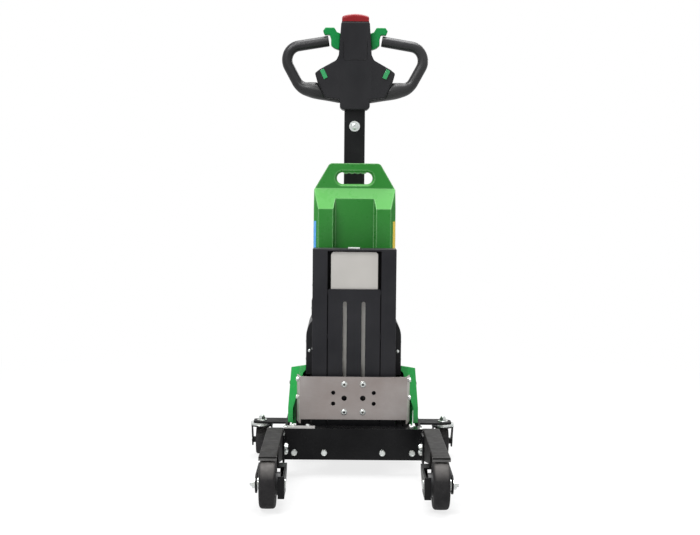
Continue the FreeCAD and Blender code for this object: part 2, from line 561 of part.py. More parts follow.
def castor_fork():
    """Round crown with the lower race, two tapered cheeks, and the wheel's axle with its collars."""
    axle_y = CASTOR_Y + CASTOR_TRAIL
    axle_z = CASTOR_WHEEL_RADIUS
    left = CASTOR_SIDE - CASTOR_FORK_HALF_WIDTH
    right = CASTOR_SIDE + CASTOR_FORK_HALF_WIDTH
    crown_top = CASTOR_CROWN_BOTTOM + CASTOR_CROWN_THICKNESS
    place = (CASTOR_SIDE, CASTOR_Y)
    shape = rod("z", CASTOR_CROWN_RADIUS, CASTOR_CROWN_BOTTOM, crown_top, *place)
    shape = shape.common(box(left, right, CASTOR_Y - CASTOR_CROWN_RADIUS, CASTOR_Y + CASTOR_CROWN_RADIUS,
                             CASTOR_CROWN_BOTTOM, crown_top))
    shape = shape.fuse(rod("z", CASTOR_LOWER_RACE_RADIUS, crown_top,
                           crown_top + CASTOR_LOWER_RACE_HEIGHT, *place))
    chord = math.sqrt(CASTOR_CROWN_RADIUS ** 2 - CASTOR_FORK_HALF_WIDTH ** 2)
    for x0 in (left, right - CASTOR_FORK_PLATE):
        x1 = x0 + CASTOR_FORK_PLATE
        cheek = side_profile([(CASTOR_Y - chord, crown_top), (CASTOR_Y + chord, crown_top),
                              (axle_y + CASTOR_EYE_RADIUS, axle_z),
                              (axle_y - CASTOR_EYE_RADIUS, axle_z)], x0, x1)
        shape = shape.fuse(cheek).fuse(rod("x", CASTOR_EYE_RADIUS, x0, x1, axle_y, axle_z))
    shape = shape.fuse(rod("x", CASTOR_AXLE_RADIUS, left, right, axle_y, axle_z))
    gap = CASTOR_WHEEL_WIDTH / 2 + RUNNING_GAP
    for sign in (-1, 1):
        shape = shape.fuse(rod("x", 2 * CASTOR_AXLE_RADIUS, CASTOR_SIDE + sign * gap,
                               CASTOR_SIDE + sign * (CASTOR_FORK_HALF_WIDTH - CASTOR_FORK_PLATE),
                               axle_y, axle_z))
    return shape.cut(rod("z", CASTOR_PIN_RADIUS + BEARING_GAP, CASTOR_CROWN_BOTTOM,
                         crown_top + CASTOR_LOWER_RACE_HEIGHT, *place)).removeSplitter()


def castor_wheel():
    half = CASTOR_WHEEL_WIDTH / 2
    return ring_x(CASTOR_WHEEL_RADIUS, CASTOR_AXLE_RADIUS + BEARING_GAP, CASTOR_SIDE - half,
                  CASTOR_SIDE + half, CASTOR_Y + CASTOR_TRAIL, CASTOR_WHEEL_RADIUS)


# ---- mast and hitch ----
def mast_frame():
    """Two C rails facing each other on a back web, with a cap across the top."""
    rear = MAST_Y + MAST_DEPTH
    shape = box(-MAST_HALF_WIDTH, MAST_HALF_WIDTH, MAST_Y, rear, MAST_BASE, MAST_TOP)
    channel = MAST_HALF_WIDTH - MAST_WALL
    ceiling = MAST_TOP - MAST_CAP
    shape = shape.cut(box(-channel, channel, MAST_Y + MAST_WALL, rear - MAST_WALL,
                          MAST_BASE, ceiling))
    shape = shape.cut(box(-MAST_MOUTH_HALF_WIDTH, MAST_MOUTH_HALF_WIDTH, MAST_Y,
                          MAST_Y + MAST_WALL, MAST_BASE, ceiling))
    return shape.removeSplitter()


def slot_cover():
    """Plate across the mast's mouth on small tabs, with two long slots for the hitch bolts."""
    front = MAST_Y + COVER_SETBACK
    back = front + COVER_THICKNESS
    shape = box(-COVER_HALF_WIDTH, COVER_HALF_WIDTH, front, back, MAST_BASE, COVER_TOP)
    shape = round_edges(shape, COVER_CORNER_RADIUS, lambda edge: (
        runs_along(edge, "y") and edge.BoundBox.ZMin > COVER_TOP - 1))
    pitch = (COVER_TOP - MAST_BASE - COVER_TAB_HEIGHT - COVER_CORNER_RADIUS) / (COVER_TAB_COUNT - 1)
    for sign in (-1, 1):
        for k in range(COVER_TAB_COUNT):
            low = MAST_BASE + k * pitch
            shape = shape.fuse(box(sign * COVER_HALF_WIDTH, sign * MAST_MOUTH_HALF_WIDTH, front, back,
                                   low, low + COVER_TAB_HEIGHT))
        x = sign * SLOT_SPACING / 2
        shape = shape.cut(box(x - SLOT_HALF_WIDTH, x + SLOT_HALF_WIDTH, front, back,
                              HITCH_BOTTOM, SLOT_TOP - SLOT_HALF_WIDTH))
        shape = shape.cut(rod("y", SLOT_HALF_WIDTH, front, back, x, SLOT_TOP - SLOT_HALF_WIDTH))
    return shape.removeSplitter()


def mast_plate():
    """Fixed light plate behind the slots, with a box head that stands forward above the cover."""
    back = LIGHT_PLATE_Y + LIGHT_PLATE_THICKNESS
    web = MAST_Y + MAST_DEPTH - MAST_WALL
    cover_rear = MAST_Y + COVER_SETBACK + COVER_THICKNESS
    half = LIGHT_PLATE_HALF_WIDTH
    cut = LIGHT_PLATE_CORNER_CUT

    def panel(bottom, y0, y1):
        return front_profile([(-half, bottom), (half, bottom), (half, LIGHT_PLATE_TOP - cut),
                              (half - cut, LIGHT_PLATE_TOP), (-half + cut, LIGHT_PLATE_TOP),
                              (-half, LIGHT_PLATE_TOP - cut)], y0, y1)

    shape = panel(LIGHT_PLATE_BOTTOM, LIGHT_PLATE_Y, back)
    shape = shape.fuse(panel(LIGHT_PLATE_TOP - LIGHT_PLATE_HEAD_HEIGHT, cover_rear + RUNNING_GAP,
                             LIGHT_PLATE_Y))
    for x in (-STANDOFF_SIDE, STANDOFF_SIDE):
        for z in (LIGHT_PLATE_BOTTOM + STANDOFF_MARGIN, LIGHT_PLATE_TOP - STANDOFF_MARGIN):
            shape = shape.fuse(rod("y", STANDOFF_RADIUS, back, web, x, z))
    return shape.removeSplitter()


def carriage():
    """Slider between the rails, behind the cover, with its four bolts to the hitch plate."""
    slide = MAST_HALF_WIDTH - MAST_WALL - RUNNING_GAP
    shape = box(-slide, slide, SLIDER_Y, SLIDER_Y + SLIDER_DEPTH,
                SLIDER_BOTTOM, SLIDER_BOTTOM + SLIDER_HEIGHT)
    middle = (HITCH_BOTTOM + HITCH_TOP) / 2
    head = HITCH_Y - HITCH_BOLT_HEAD_HEIGHT
    for x in (-SLOT_SPACING / 2, SLOT_SPACING / 2):
        for z in (middle - HITCH_BOLT_RISE, middle + HITCH_BOLT_RISE):
            shape = shape.fuse(rod("y", HITCH_BOLT_RADIUS, HITCH_Y, SLIDER_Y, x, z))
            shape = shape.fuse(rod("y", HITCH_BOLT_HEAD_RADIUS, head, HITCH_Y, x, z))
    return shape.removeSplitter()


def hitch_plate():
    """Flat plate with side flanges folded back and flared, and its pattern of holes."""
    back = HITCH_Y + HITCH_THICKNESS
    middle = (HITCH_BOTTOM + HITCH_TOP) / 2
    shape = box(-HITCH_HALF_WIDTH, HITCH_HALF_WIDTH, HITCH_Y, back, HITCH_BOTTOM, HITCH_TOP)
    rear = HITCH_Y + HITCH_FLANGE_DEPTH
    wall = HITCH_THICKNESS / 2
    for sign in (-1, 1):
        outer = HITCH_HALF_WIDTH + HITCH_FLANGE_FLARE
        flange = plan_profile([(sign * HITCH_HALF_WIDTH, HITCH_Y), (sign * outer, rear),
                               (sign * (outer - wall), rear),
                               (sign * (HITCH_HALF_WIDTH - wall), back),
                               (sign * (HITCH_HALF_WIDTH - wall), HITCH_Y)],
                              HITCH_BOTTOM - HITCH_FLANGE_DROP, HITCH_TOP)
        shape = shape.fuse(flange)
        x = sign * SLOT_SPACING / 2
        shape = shape.cut(rod("y", HITCH_MIDDLE_HOLE_RADIUS, HITCH_Y, back, x, middle))
        for rise in (-HITCH_BOLT_RISE, HITCH_BOLT_RISE):
            shape = shape.cut(rod("y", HITCH_BOLT_RADIUS + BEARING_GAP, HITCH_Y, back,
                                  x, middle + rise))
        for rise in (-HITCH_SIDE_HOLE_RISE / 2, HITCH_SIDE_HOLE_RISE / 2):
            shape = shape.cut(rod("y", HITCH_SIDE_HOLE_RADIUS, HITCH_Y, back,
                                  sign * HITCH_SIDE_HOLE_SPACING / 2, middle + rise))
    return shape.removeSplitter()


# ---- body, battery and covers ----
def body_housing():
    """Closed electronics housing on the side plates, with rounded shoulders."""
    front = MAST_Y + MAST_DEPTH

    def at(x, z):
        return FreeCAD.Vector(x, front, z)

    half = HOUSING_HALF_WIDTH
    top = HOUSING_TOP_HALF_WIDTH
    crown_x, crown_z = HOUSING_CROWN
    outline = Part.Wire([
        Part.makeLine(at(-half, DECK_HEIGHT), at(half, DECK_HEIGHT)),
        Part.makeLine(at(half, DECK_HEIGHT), at(half, HOUSING_SHOULDER)),
        Part.Arc(at(half, HOUSING_SHOULDER), at(crown_x, crown_z), at(top, HOUSING_TOP)).toShape(),
        Part.makeLine(at(top, HOUSING_TOP), at(-top, HOUSING_TOP)),
        Part.Arc(at(-top, HOUSING_TOP), at(-crown_x, crown_z), at(-half, HOUSING_SHOULDER)).toShape(),
        Part.makeLine(at(-half, HOUSING_SHOULDER), at(-half, DECK_HEIGHT))])
    return Part.Face(outline).extrude(FreeCAD.Vector(0, BASE_REAR_Y - front, 0))


def rear_panel():
    """Closing panel: as wide as the housing above, as wide as the base frame between the wheels."""
    back = BASE_REAR_Y + PANEL_THICKNESS
    upper = box(-HOUSING_HALF_WIDTH, HOUSING_HALF_WIDTH, BASE_REAR_Y, back,
                DECK_HEIGHT, HOUSING_SHOULDER)
    lower = box(-BASE_HALF_WIDTH, BASE_HALF_WIDTH, BASE_REAR_Y, back, PANEL_BOTTOM, DECK_HEIGHT)
    return upper.fuse(lower).removeSplitter()


def battery_tray():
    """Tray on the housing with low side walls and a taller back wall."""
    half = BATTERY_HALF_WIDTH + BATTERY_GAP
    outer = half + TRAY_WALL
    back = BATTERY_Y + BATTERY_DEPTH + BATTERY_GAP
    shape = box(-outer, outer, BATTERY_Y, back + TRAY_WALL, HOUSING_TOP, BATTERY_BOTTOM)
    for sign in (-1, 1):
        shape = shape.fuse(box(sign * half, sign * outer, BATTERY_Y, back + TRAY_WALL,
                               HOUSING_TOP, HOUSING_TOP + TRAY_SIDE_HEIGHT))
    shape = shape.fuse(box(-outer, outer, back, back + TRAY_WALL,
                           HOUSING_TOP, HOUSING_TOP + TRAY_BACK_HEIGHT))
    return shape.removeSplitter()


def battery_recess():
    """Drafted recess in the pack's front face, as a solid to cut away."""
    front = [FreeCAD.Vector(x, BATTERY_Y, z) for x, z in (
        (-BATTERY_RECESS_HALF_FRONT, BATTERY_BOTTOM), (BATTERY_RECESS_HALF_FRONT, BATTERY_BOTTOM),
        (BATTERY_RECESS_HALF_FRONT, BATTERY_RECESS_TOP), (-BATTERY_RECESS_HALF_FRONT, BATTERY_RECESS_TOP))]
    draft = BATTERY_RECESS_HALF_FRONT - BATTERY_RECESS_HALF_BACK
    deep = BATTERY_Y + BATTERY_RECESS_DEPTH
    back = [FreeCAD.Vector(x, deep, z) for x, z in (
        (-BATTERY_RECESS_HALF_BACK, BATTERY_BOTTOM), (BATTERY_RECESS_HALF_BACK, BATTERY_BOTTOM),
        (BATTERY_RECESS_HALF_BACK, BATTERY_RECESS_TOP - draft),
        (-BATTERY_RECESS_HALF_BACK, BATTERY_RECESS_TOP - draft))]
    rings = [Part.makePolygon(ring + ring[:1]) for ring in (front, back)]
    return Part.makeLoft(rings, True, True)


def battery_slot(grow, y0, y1):
    """Round-ended hand slot through the handle from y0 to y1, wider all round by grow."""
    radius = BATTERY_SLOT_HEIGHT / 2
    reach = BATTERY_SLOT_HALF_WIDTH - radius
    middle = BATTERY_SLOT_BOTTOM + radius
    slot = box(-reach, reach, y0, y1, middle - radius - grow, middle + radius + grow)
    for x in (-reach, reach):
        slot = slot.fuse(rod("y", radius + grow, y0, y1, x, middle))
    return slot.removeSplitter()


def battery_case():
    """Moulded pack: bevelled shoulders up to a flat handle with a hand slot."""
    back = BATTERY_Y + BATTERY_DEPTH
    centre = BATTERY_Y + BATTERY_DEPTH / 2
    half_handle = BATTERY_HANDLE_DEPTH / 2
    side = side_profile([(BATTERY_Y, BATTERY_BOTTOM), (back, BATTERY_BOTTOM),
                         (back, BATTERY_SHOULDER_BOTTOM),
                         (centre + half_handle, BATTERY_SHOULDER_TOP),
                         (centre + half_handle, BATTERY_TOP), (centre - half_handle, BATTERY_TOP),
                         (centre - half_handle, BATTERY_SHOULDER_TOP),
                         (BATTERY_Y, BATTERY_SHOULDER_BOTTOM)],
                        -BATTERY_HALF_WIDTH, BATTERY_HALF_WIDTH)
    half = BATTERY_HALF_WIDTH
    base = BATTERY_HANDLE_HALF_BASE
    front = front_profile([(-half, BATTERY_BOTTOM), (half, BATTERY_BOTTOM),
                           (half, BATTERY_SHOULDER_TOP - (half - base)),
                           (base, BATTERY_SHOULDER_TOP + (half - base) / 2),
                           (BATTERY_HANDLE_HALF_TOP, BATTERY_TOP),
                           (-BATTERY_HANDLE_HALF_TOP, BATTERY_TOP),
                           (-base, BATTERY_SHOULDER_TOP + (half - base) / 2),
                           (-half, BATTERY_SHOULDER_TOP - (half - base))],
                          BATTERY_Y, back)
    front = round_edges(front, BATTERY_TOP_RADIUS, lambda edge: (
        runs_along(edge, "y") and edge.BoundBox.ZMin > BATTERY_TOP - 1))
    chamfer = BATTERY_CORNER_CHAMFER
    plan = plan_profile([(-half, BATTERY_Y + chamfer), (-half + chamfer, BATTERY_Y),
                         (half - chamfer, BATTERY_Y), (half, BATTERY_Y + chamfer),
                         (half, back - chamfer), (half - chamfer, back),
                         (-half + chamfer, back), (-half, back - chamfer)],
                        BATTERY_BOTTOM, BATTERY_TOP)
    shape = side.common(front).common(plan).cut(battery_recess())
    shape = shape.cut(battery_slot(0.0, BATTERY_Y, back))
    for wall, edge in ((BATTERY_Y, centre - half_handle), (back, centre + half_handle)):
        for sign in (-1, 1):
            shape = shape.cut(shoulder_facet(sign, wall, edge))
    for face in (centre - half_handle, centre + half_handle):
        inward = 1 if face < centre else -1
        shape = shape.cut(slot_bevel(face, face + inward * BATTERY_SLOT_BEVEL))
    return shape.removeSplitter()


def shoulder_facet(sign, wall, edge):
    """Wedge that tapers a corner's chamfer to nothing up the bevel from wall to edge (both y)."""
    half = sign * BATTERY_HALF_WIDTH
    inward = BATTERY_CORNER_CHAMFER if edge > wall else -BATTERY_CORNER_CHAMFER
    corner = FreeCAD.Vector(half, wall, BATTERY_SHOULDER_BOTTOM)
    across = FreeCAD.Vector(half - sign * BATTERY_CORNER_CHAMFER, wall, BATTERY_SHOULDER_BOTTOM)
    along = FreeCAD.Vector(half, wall + inward, BATTERY_SHOULDER_BOTTOM)
    summit = FreeCAD.Vector(half, edge, BATTERY_SHOULDER_TOP)
    faces = [Part.Face(Part.makePolygon([a, b, c, a])) for a, b, c in
             ((corner, across, along), (corner, across, summit), (corner, along, summit),
              (across, along, summit))]
    return Part.makeSolid(Part.makeShell(faces))


def slot_bevel(outer_y, inner_y):
    """Funnel that bevels the hand slot's rim, wide at outer_y and as the slot at inner_y."""
    rims = []
    for y, grow in ((outer_y, BATTERY_SLOT_BEVEL), (inner_y, 0.0)):
        radius = BATTERY_SLOT_HEIGHT / 2 + grow
        reach = BATTERY_SLOT_HALF_WIDTH - BATTERY_SLOT_HEIGHT / 2
        middle = BATTERY_SLOT_BOTTOM + BATTERY_SLOT_HEIGHT / 2

        def at(x, z):
            return FreeCAD.Vector(x, y, z)

        rims.append(Part.Wire([
            Part.makeLine(at(-reach, middle - radius), at(reach, middle - radius)),
            Part.Arc(at(reach, middle - radius), at(reach + radius, middle),
                     at(reach, middle + radius)).toShape(),
            Part.makeLine(at(reach, middle + radius), at(-reach, middle + radius)),
            Part.Arc(at(-reach, middle + radius), at(-reach - radius, middle),
                     at(-reach, middle - radius)).toShape()]))
    return Part.makeLoft(rims, True, True)


def fender_outline(inset):
    """The cover's (y, z) outline, moved in by inset everywhere but at its open bottom."""
    front = FENDER_Y + inset
    rear = FENDER_Y + FENDER_LENGTH - inset
    top = FENDER_TOP - inset
    flap_front = rear - FENDER_FLAP_DEPTH
    return [(front, FENDER_BOTTOM), (flap_front - FENDER_FLAP_SLOPE_RUN, FENDER_BOTTOM),
            (flap_front, FENDER_FLAP_BOTTOM), (rear, FENDER_FLAP_BOTTOM), (rear, FENDER_BREAK),
            (rear - FENDER_REAR_SLOPE_RUN, top), (front + FENDER_SLOPE_RUN, top),
            (front, FENDER_BREAK)]


def fender_section(inset):
    """The cover's (x, z) outline seen from the front, moved in by inset at its outer side."""
    outer = FENDER_HALF_WIDTH - inset
    return [(FENDER_INNER, FENDER_FLAP_BOTTOM), (outer, FENDER_FLAP_BOTTOM), (outer, FENDER_BREAK),
            (FENDER_TOP_HALF_WIDTH - inset, FENDER_TOP), (FENDER_INNER, FENDER_TOP)]


def fender_lid(inset):
    """All above the cover's top face, which falls to the rear and to the outer side."""
    front = FENDER_Y + FENDER_SLOPE_RUN
    rear = FENDER_Y + FENDER_LENGTH
    top = FENDER_TOP - inset
    side_fall = FENDER_TOP_FALL / (FENDER_TOP_HALF_WIDTH - FENDER_INNER)
    rear_fall = FENDER_REAR_FALL / (rear - FENDER_SLOPE_RUN - front)

    def at(x, y):
        return FreeCAD.Vector(x, y, top - side_fall * (x - FENDER_INNER) - rear_fall * (y - front))

    outer = 2 * FENDER_HALF_WIDTH - FENDER_INNER
    inner = FENDER_INNER - FENDER_WALL
    corners = [at(inner, FENDER_Y), at(outer, FENDER_Y), at(outer, rear), at(inner, rear)]
    face = Part.Face(Part.makePolygon(corners + corners[:1]))
    return face.extrude(FreeCAD.Vector(0, 0, FENDER_TOP - FENDER_BOTTOM))


def fender_facet(inset):
    """Wedge that cuts the front outer corner: upright below the break, leaning back above it."""
    depth = FENDER_FACET_DEPTH + inset
    toe = FreeCAD.Vector(FENDER_HALF_WIDTH - inset, FENDER_Y + depth, FENDER_BREAK)
    heel = FreeCAD.Vector(FENDER_HALF_WIDTH - inset - FENDER_FACET_WIDTH, FENDER_Y + inset, FENDER_BREAK)
    run = toe - heel
    ahead = FreeCAD.Vector(run.y, -run.x, 0)
    corners = [heel - run, toe + run, toe + run + ahead, heel - run + ahead]
    face = Part.Face(Part.makePolygon(corners + corners[:1]))
    rise = FENDER_TOP - FENDER_BREAK
    lower = face.extrude(FreeCAD.Vector(0, 0, FENDER_FLAP_BOTTOM - FENDER_BREAK))
    return lower.fuse(face.extrude(FreeCAD.Vector(0, FENDER_SLOPE_RUN, rise)))


def wheel_cover():
    """Thin shell over a drive wheel, open below and towards the housing."""
    rear = FENDER_Y + FENDER_LENGTH
    shells = []
    for inset in (0.0, FENDER_WALL):
        side = side_profile(fender_outline(inset), FENDER_INNER, FENDER_HALF_WIDTH)
        body = side.common(front_profile(fender_section(inset), FENDER_Y, rear))
        shells.append(body.cut(fender_facet(inset)).cut(fender_lid(inset)))
    shape = shells[0].cut(shells[1])
    head = FENDER_TOP - FENDER_BAND_HEAD
    corner_run, corner_rise = FENDER_BAND_CORNER
    band = FENDER_TOP_HALF_WIDTH - FENDER_BAND_UPPER
    opening = front_profile([(FENDER_INNER, FENDER_BOTTOM),
                             (FENDER_HALF_WIDTH - FENDER_BAND_LOWER, FENDER_BOTTOM),
                             (FENDER_HALF_WIDTH - FENDER_BAND_LOWER, FENDER_BREAK),
                             (band, head - corner_rise), (band - corner_run, head),
                             (FENDER_INNER, head)],
                            FENDER_Y, FENDER_Y + FENDER_SLOPE_RUN + FENDER_FACET_DEPTH)
    shape = shape.cut(opening)
    housing = box(FENDER_INNER, HOUSING_HALF_WIDTH, MAST_Y + MAST_DEPTH,
                  BASE_REAR_Y + PANEL_THICKNESS, DECK_HEIGHT, HOUSING_SHOULDER)
    return shape.cut(housing).removeSplitter()


# ---- controls on the rear panel ----
def key_switch():
    face = BASE_REAR_Y + PANEL_THICKNESS
    key_face = face + KEY_COLLAR_DEPTH
    shape = rod("y", KEY_COLLAR_RADIUS, face, key_face, PANEL_CONTROL_SIDE, PANEL_CONTROL_HEIGHT)
    return shape.fuse(box(PANEL_CONTROL_SIDE - KEY_THICKNESS / 2, PANEL_CONTROL_SIDE + KEY_THICKNESS / 2,
                          key_face, key_face + KEY_DEPTH,
                          PANEL_CONTROL_HEIGHT - KEY_LENGTH / 2, PANEL_CONTROL_HEIGHT + KEY_LENGTH / 2))


def charge_gauge():
    face = BASE_REAR_Y + PANEL_THICKNESS
    half = GAUGE_SIZE / 2
    shape = box(-PANEL_CONTROL_SIDE - half, -PANEL_CONTROL_SIDE + half, face, face + GAUGE_DEPTH,
                PANEL_CONTROL_HEIGHT - half, PANEL_CONTROL_HEIGHT + half)
    return round_edges(shape, GAUGE_CORNER_RADIUS, lambda edge: runs_along(edge, "y"))


def tiller_stop():
    """Rubber buffer on the rear panel that the upright tiller rests against."""
    face = BASE_REAR_Y + PANEL_THICKNESS
    bar_front = TILLER_Y - TILLER_BAR_DEPTH / 2 - RUNNING_GAP
    return rod("y", STOP_RADIUS, face, bar_front, 0, STOP_HEIGHT)


# ---- tiller ----
def tiller_bracket():
    """Base plate and two cheeks with the pivot's eyes."""
    face = BASE_REAR_Y + PANEL_THICKNESS
    shape = box(-TILLER_BASE_HALF_WIDTH, TILLER_BASE_HALF_WIDTH, face, face + BASE_PLATE,
                TILLER_BASE_BOTTOM, TILLER_BASE_TOP - 10)
    tail = ((face, TILLER_BASE_TOP - 20), (face, TILLER_BASE_BOTTOM + 10))
    for sign in (-1, 1):
        x0 = sign * TILLER_CHEEK_INNER
        x1 = sign * (TILLER_CHEEK_INNER + TILLER_CHEEK_THICKNESS)
        low, high = min(x0, x1), max(x0, x1)
        eye = rod("x", TILLER_CHEEK_RADIUS, low, high, TILLER_Y, TILLER_PIVOT_HEIGHT)
        web = side_profile([(face, tail[1][1]), (TILLER_Y, TILLER_PIVOT_HEIGHT - TILLER_CHEEK_RADIUS),
                            (TILLER_Y, TILLER_PIVOT_HEIGHT + TILLER_CHEEK_RADIUS),
                            (face, tail[0][1])], low, high)
        shape = shape.fuse(eye).fuse(web)
    reach = TILLER_CHEEK_INNER + TILLER_CHEEK_THICKNESS
    return shape.cut(rod("x", TILLER_PIN_RADIUS + BEARING_GAP, -reach, reach,
                         TILLER_Y, TILLER_PIVOT_HEIGHT)).removeSplitter()


def tiller_pin():
    reach = TILLER_CHEEK_INNER + TILLER_CHEEK_THICKNESS
    place = (TILLER_Y, TILLER_PIVOT_HEIGHT)
    shape = rod("x", TILLER_PIN_RADIUS, -reach, reach, *place)
    for sign in (-1, 1):
        shape = shape.fuse(hexagon("x", AXLE_HEAD_RADIUS + 2, sign * reach,
                                   sign * (reach + AXLE_HEAD_HEIGHT), *place))
    return shape.removeSplitter()


def tiller_bar():
    """Rectangular tube with a pivot boss at its foot."""
    half_width = TILLER_BAR_WIDTH / 2
    half_depth = TILLER_BAR_DEPTH / 2
    foot = TILLER_PIVOT_HEIGHT - TILLER_BAR_BELOW_PIVOT
    shape = box(-half_width, half_width, TILLER_Y - half_depth, TILLER_Y + half_depth,
                foot, HEAD_BOTTOM)
    shape = round_edges(shape, TILLER_BAR_WALL, lambda edge: runs_along(edge, "z"))
    wall = TILLER_BAR_WALL
    shape = shape.cut(box(-half_width + wall, half_width - wall, TILLER_Y - half_depth + wall,
                          TILLER_Y + half_depth - wall, foot + wall, HEAD_BOTTOM - wall))
    reach = TILLER_CHEEK_INNER - RUNNING_GAP
    place = (TILLER_Y, TILLER_PIVOT_HEIGHT)
    shape = shape.fuse(rod("x", TILLER_BOSS_RADIUS, -reach, reach, *place))
    return shape.cut(rod("x", TILLER_PIN_RADIUS + BEARING_GAP, -reach, reach, *place)).removeSplitter()


def tiller_head():
    """Moulded head in one body: a deep middle whose faces fall back towards the shoulders."""
    right = [(HEAD_NECK_HALF_WIDTH, HEAD_BOTTOM)]
    right += [(x, HEAD_SHOULDER_HEIGHT + rise) for x, rise in HEAD_OUTLINE]
    right.append((HEAD_COLUMN_HALF_WIDTH, HEAD_TOP))
    outline = right + [(-x, z) for x, z in reversed(right)]
    half_depth = HEAD_DEPTH / 2
    slab = front_profile(outline, TILLER_Y - half_depth, TILLER_Y + half_depth)
    slab = round_edges(slab, HEAD_CORNER_RADIUS, lambda edge: runs_along(edge, "y"))
    quarter = [(HEAD_OUTLINE[-1][0], half_depth), (HEAD_SHOULDER_HALF_WIDTH, HEAD_SHOULDER_DEPTH / 2)]
    plan = [(x, TILLER_Y - y) for x, y in quarter] + [(x, TILLER_Y + y) for x, y in reversed(quarter)]
    plan += [(-x, y) for x, y in reversed(plan)]
    return slab.common(plan_profile(plan, HEAD_BOTTOM, HEAD_TOP))


def handle_path():
    """Middle line of the right handle: points with the radius of the bend at each, as (x, z)."""
    bends = (HANDLE_UPPER_BEND, HANDLE_OUTER_BEND, HANDLE_LOWER_BEND)
    stops = [(HANDLE_TIP, 0.0)] + list(zip(bends, HANDLE_BEND_RADII)) + [(HANDLE_ROOT, 0.0)]
    return [((x, HEAD_SHOULDER_HEIGHT + rise), radius) for (x, rise), radius in stops]


def bent_wire(points, y):
    """Wire of straight runs joined by tangent arcs through (x, z) points."""
    edges = []
    cursor = FreeCAD.Vector(points[0][0][0], y, points[0][0][1])
    for (before, here, after) in zip(points, points[1:], points[2:]):
        corner = FreeCAD.Vector(here[0][0], y, here[0][1])
        back = FreeCAD.Vector(before[0][0], y, before[0][1]) - corner
        ahead = FreeCAD.Vector(after[0][0], y, after[0][1]) - corner
        half_angle = back.getAngle(ahead) / 2
        back.normalize()
        ahead.normalize()
        radius = here[1]
        reach = radius / math.tan(half_angle)
        start = corner + back * reach
        end = corner + ahead * reach
        middle_way = back + ahead
        middle_way.normalize()
        middle = corner + middle_way * (radius / math.sin(half_angle) - radius)
        edges.append(Part.makeLine(cursor, start))
        edges.append(Part.Arc(start, middle, end).toShape())
        cursor = end
    last = FreeCAD.Vector(points[-1][0][0], y, points[-1][0][1])
    edges.append(Part.makeLine(cursor, last))
    return Part.Wire(edges)


def handle(head):
    """Bent round grip whose lower run swells from the last bend and ends inside the head."""
    path = bent_wire(handle_path(), TILLER_Y)
    edges = path.OrderedEdges
    start = edges[0].valueAt(edges[0].FirstParameter)
    circle = Part.makeCircle(HANDLE_TUBE_RADIUS, start, edges[0].tangentAt(edges[0].FirstParameter))
    tube = Part.Wire(edges[:-2]).makePipeShell([Part.Wire(circle)], True, False)
    lower_run = edges[-2:]
    length = sum(edge.Length for edge in lower_run)
    rings = []
    passed = 0.0
    for edge in lower_run:
        for k in range(1 if rings else 0, HANDLE_SWELL_STEPS + 1):
            along = edge.Length * k / HANDLE_SWELL_STEPS
            place = edge.getParameterByLength(along)
            swell = min(1.0, (passed + along) / (length * HANDLE_SWELL_SHARE))
            growth = (HANDLE_ROOT_RADIUS - HANDLE_TUBE_RADIUS) * (1 - math.cos(math.pi * swell)) / 2
            rings.append(Part.Wire(Part.makeCircle(HANDLE_TUBE_RADIUS + growth, edge.valueAt(place),
                                                   edge.tangentAt(place))))
        passed += edge.Length
    swelling = Part.makeLoft(rings, True, False)
    return tube.fuse(swelling).cut(head).removeSplitter()


def thumb_levers(head):
    """Two cranked thumb levers, one each side of the head's column."""
    levers = []
    for _, sign in SIDES:
        inner = sign * HEAD_COLUMN_HALF_WIDTH
        low, high = (HEAD_TOP - drop for drop in LEVER_ROOT_DROPS)
        outline = [(inner, low)] + [(sign * x, HEAD_TOP - drop) for x, drop in LEVER_OUTLINE]
        outline.append((inner, high))
        lever = front_profile(outline, TILLER_Y - LEVER_DEPTH / 2, TILLER_Y + LEVER_DEPTH / 2)
        levers.append(lever.cut(head))
    return Part.makeCompound(levers)


def belly_button():
    half = BELLY_BUTTON_HALF_WIDTH
    half_depth = HEAD_DEPTH / 2 - BELLY_BUTTON_MARGIN
    front = TILLER_Y - half_depth
    side = HEAD_TOP + BELLY_BUTTON_SIDE_HEIGHT
    corners = [FreeCAD.Vector(x, front, z) for x, z in (
        (-half, side), (-half, HEAD_TOP), (half, HEAD_TOP), (half, side))]
    crown = FreeCAD.Vector(0, front, HEAD_TOP + BELLY_BUTTON_HEIGHT)
    outline = Part.Wire([Part.makeLine(start, end) for start, end in zip(corners, corners[1:])]
                        + [Part.Arc(corners[3], crown, corners[0]).toShape()])
    shape = Part.Face(outline).extrude(FreeCAD.Vector(0, 2 * half_depth, 0))
    return round_edges(shape, BELLY_BUTTON_ROUND, lambda edge: edge.BoundBox.ZMin > HEAD_TOP + 1)


def head_buttons(head):
    """Two small push buttons that stand on the slanted front faces of the head's shoulders."""
    fall = (HEAD_DEPTH - HEAD_SHOULDER_DEPTH) / 2 / (HEAD_SHOULDER_HALF_WIDTH - HEAD_OUTLINE[-1][0])
    face = TILLER_Y - HEAD_DEPTH / 2 + fall * (PUSH_BUTTON_SIDE - HEAD_OUTLINE[-1][0])
    height = HEAD_SHOULDER_HEIGHT - PUSH_BUTTON_DROP
    buttons = []
    for _, sign in SIDES:
        x = sign * PUSH_BUTTON_SIDE
        button = box(x - PUSH_BUTTON_WIDTH / 2, x + PUSH_BUTTON_WIDTH / 2,
                     face - PUSH_BUTTON_PROUD, face + PUSH_BUTTON_PROUD,
                     height - PUSH_BUTTON_LENGTH / 2, height + PUSH_BUTTON_LENGTH / 2)
        button.rotate(FreeCAD.Vector(x, face, height), FreeCAD.Vector(0, 1, 0), sign * PUSH_BUTTON_LEAN)
        button.rotate(FreeCAD.Vector(x, face, height), FreeCAD.Vector(0, 0, 1),
                      sign * math.degrees(math.atan(fall)))
        buttons.append(button.cut(head))
    return Part.makeCompound(buttons)


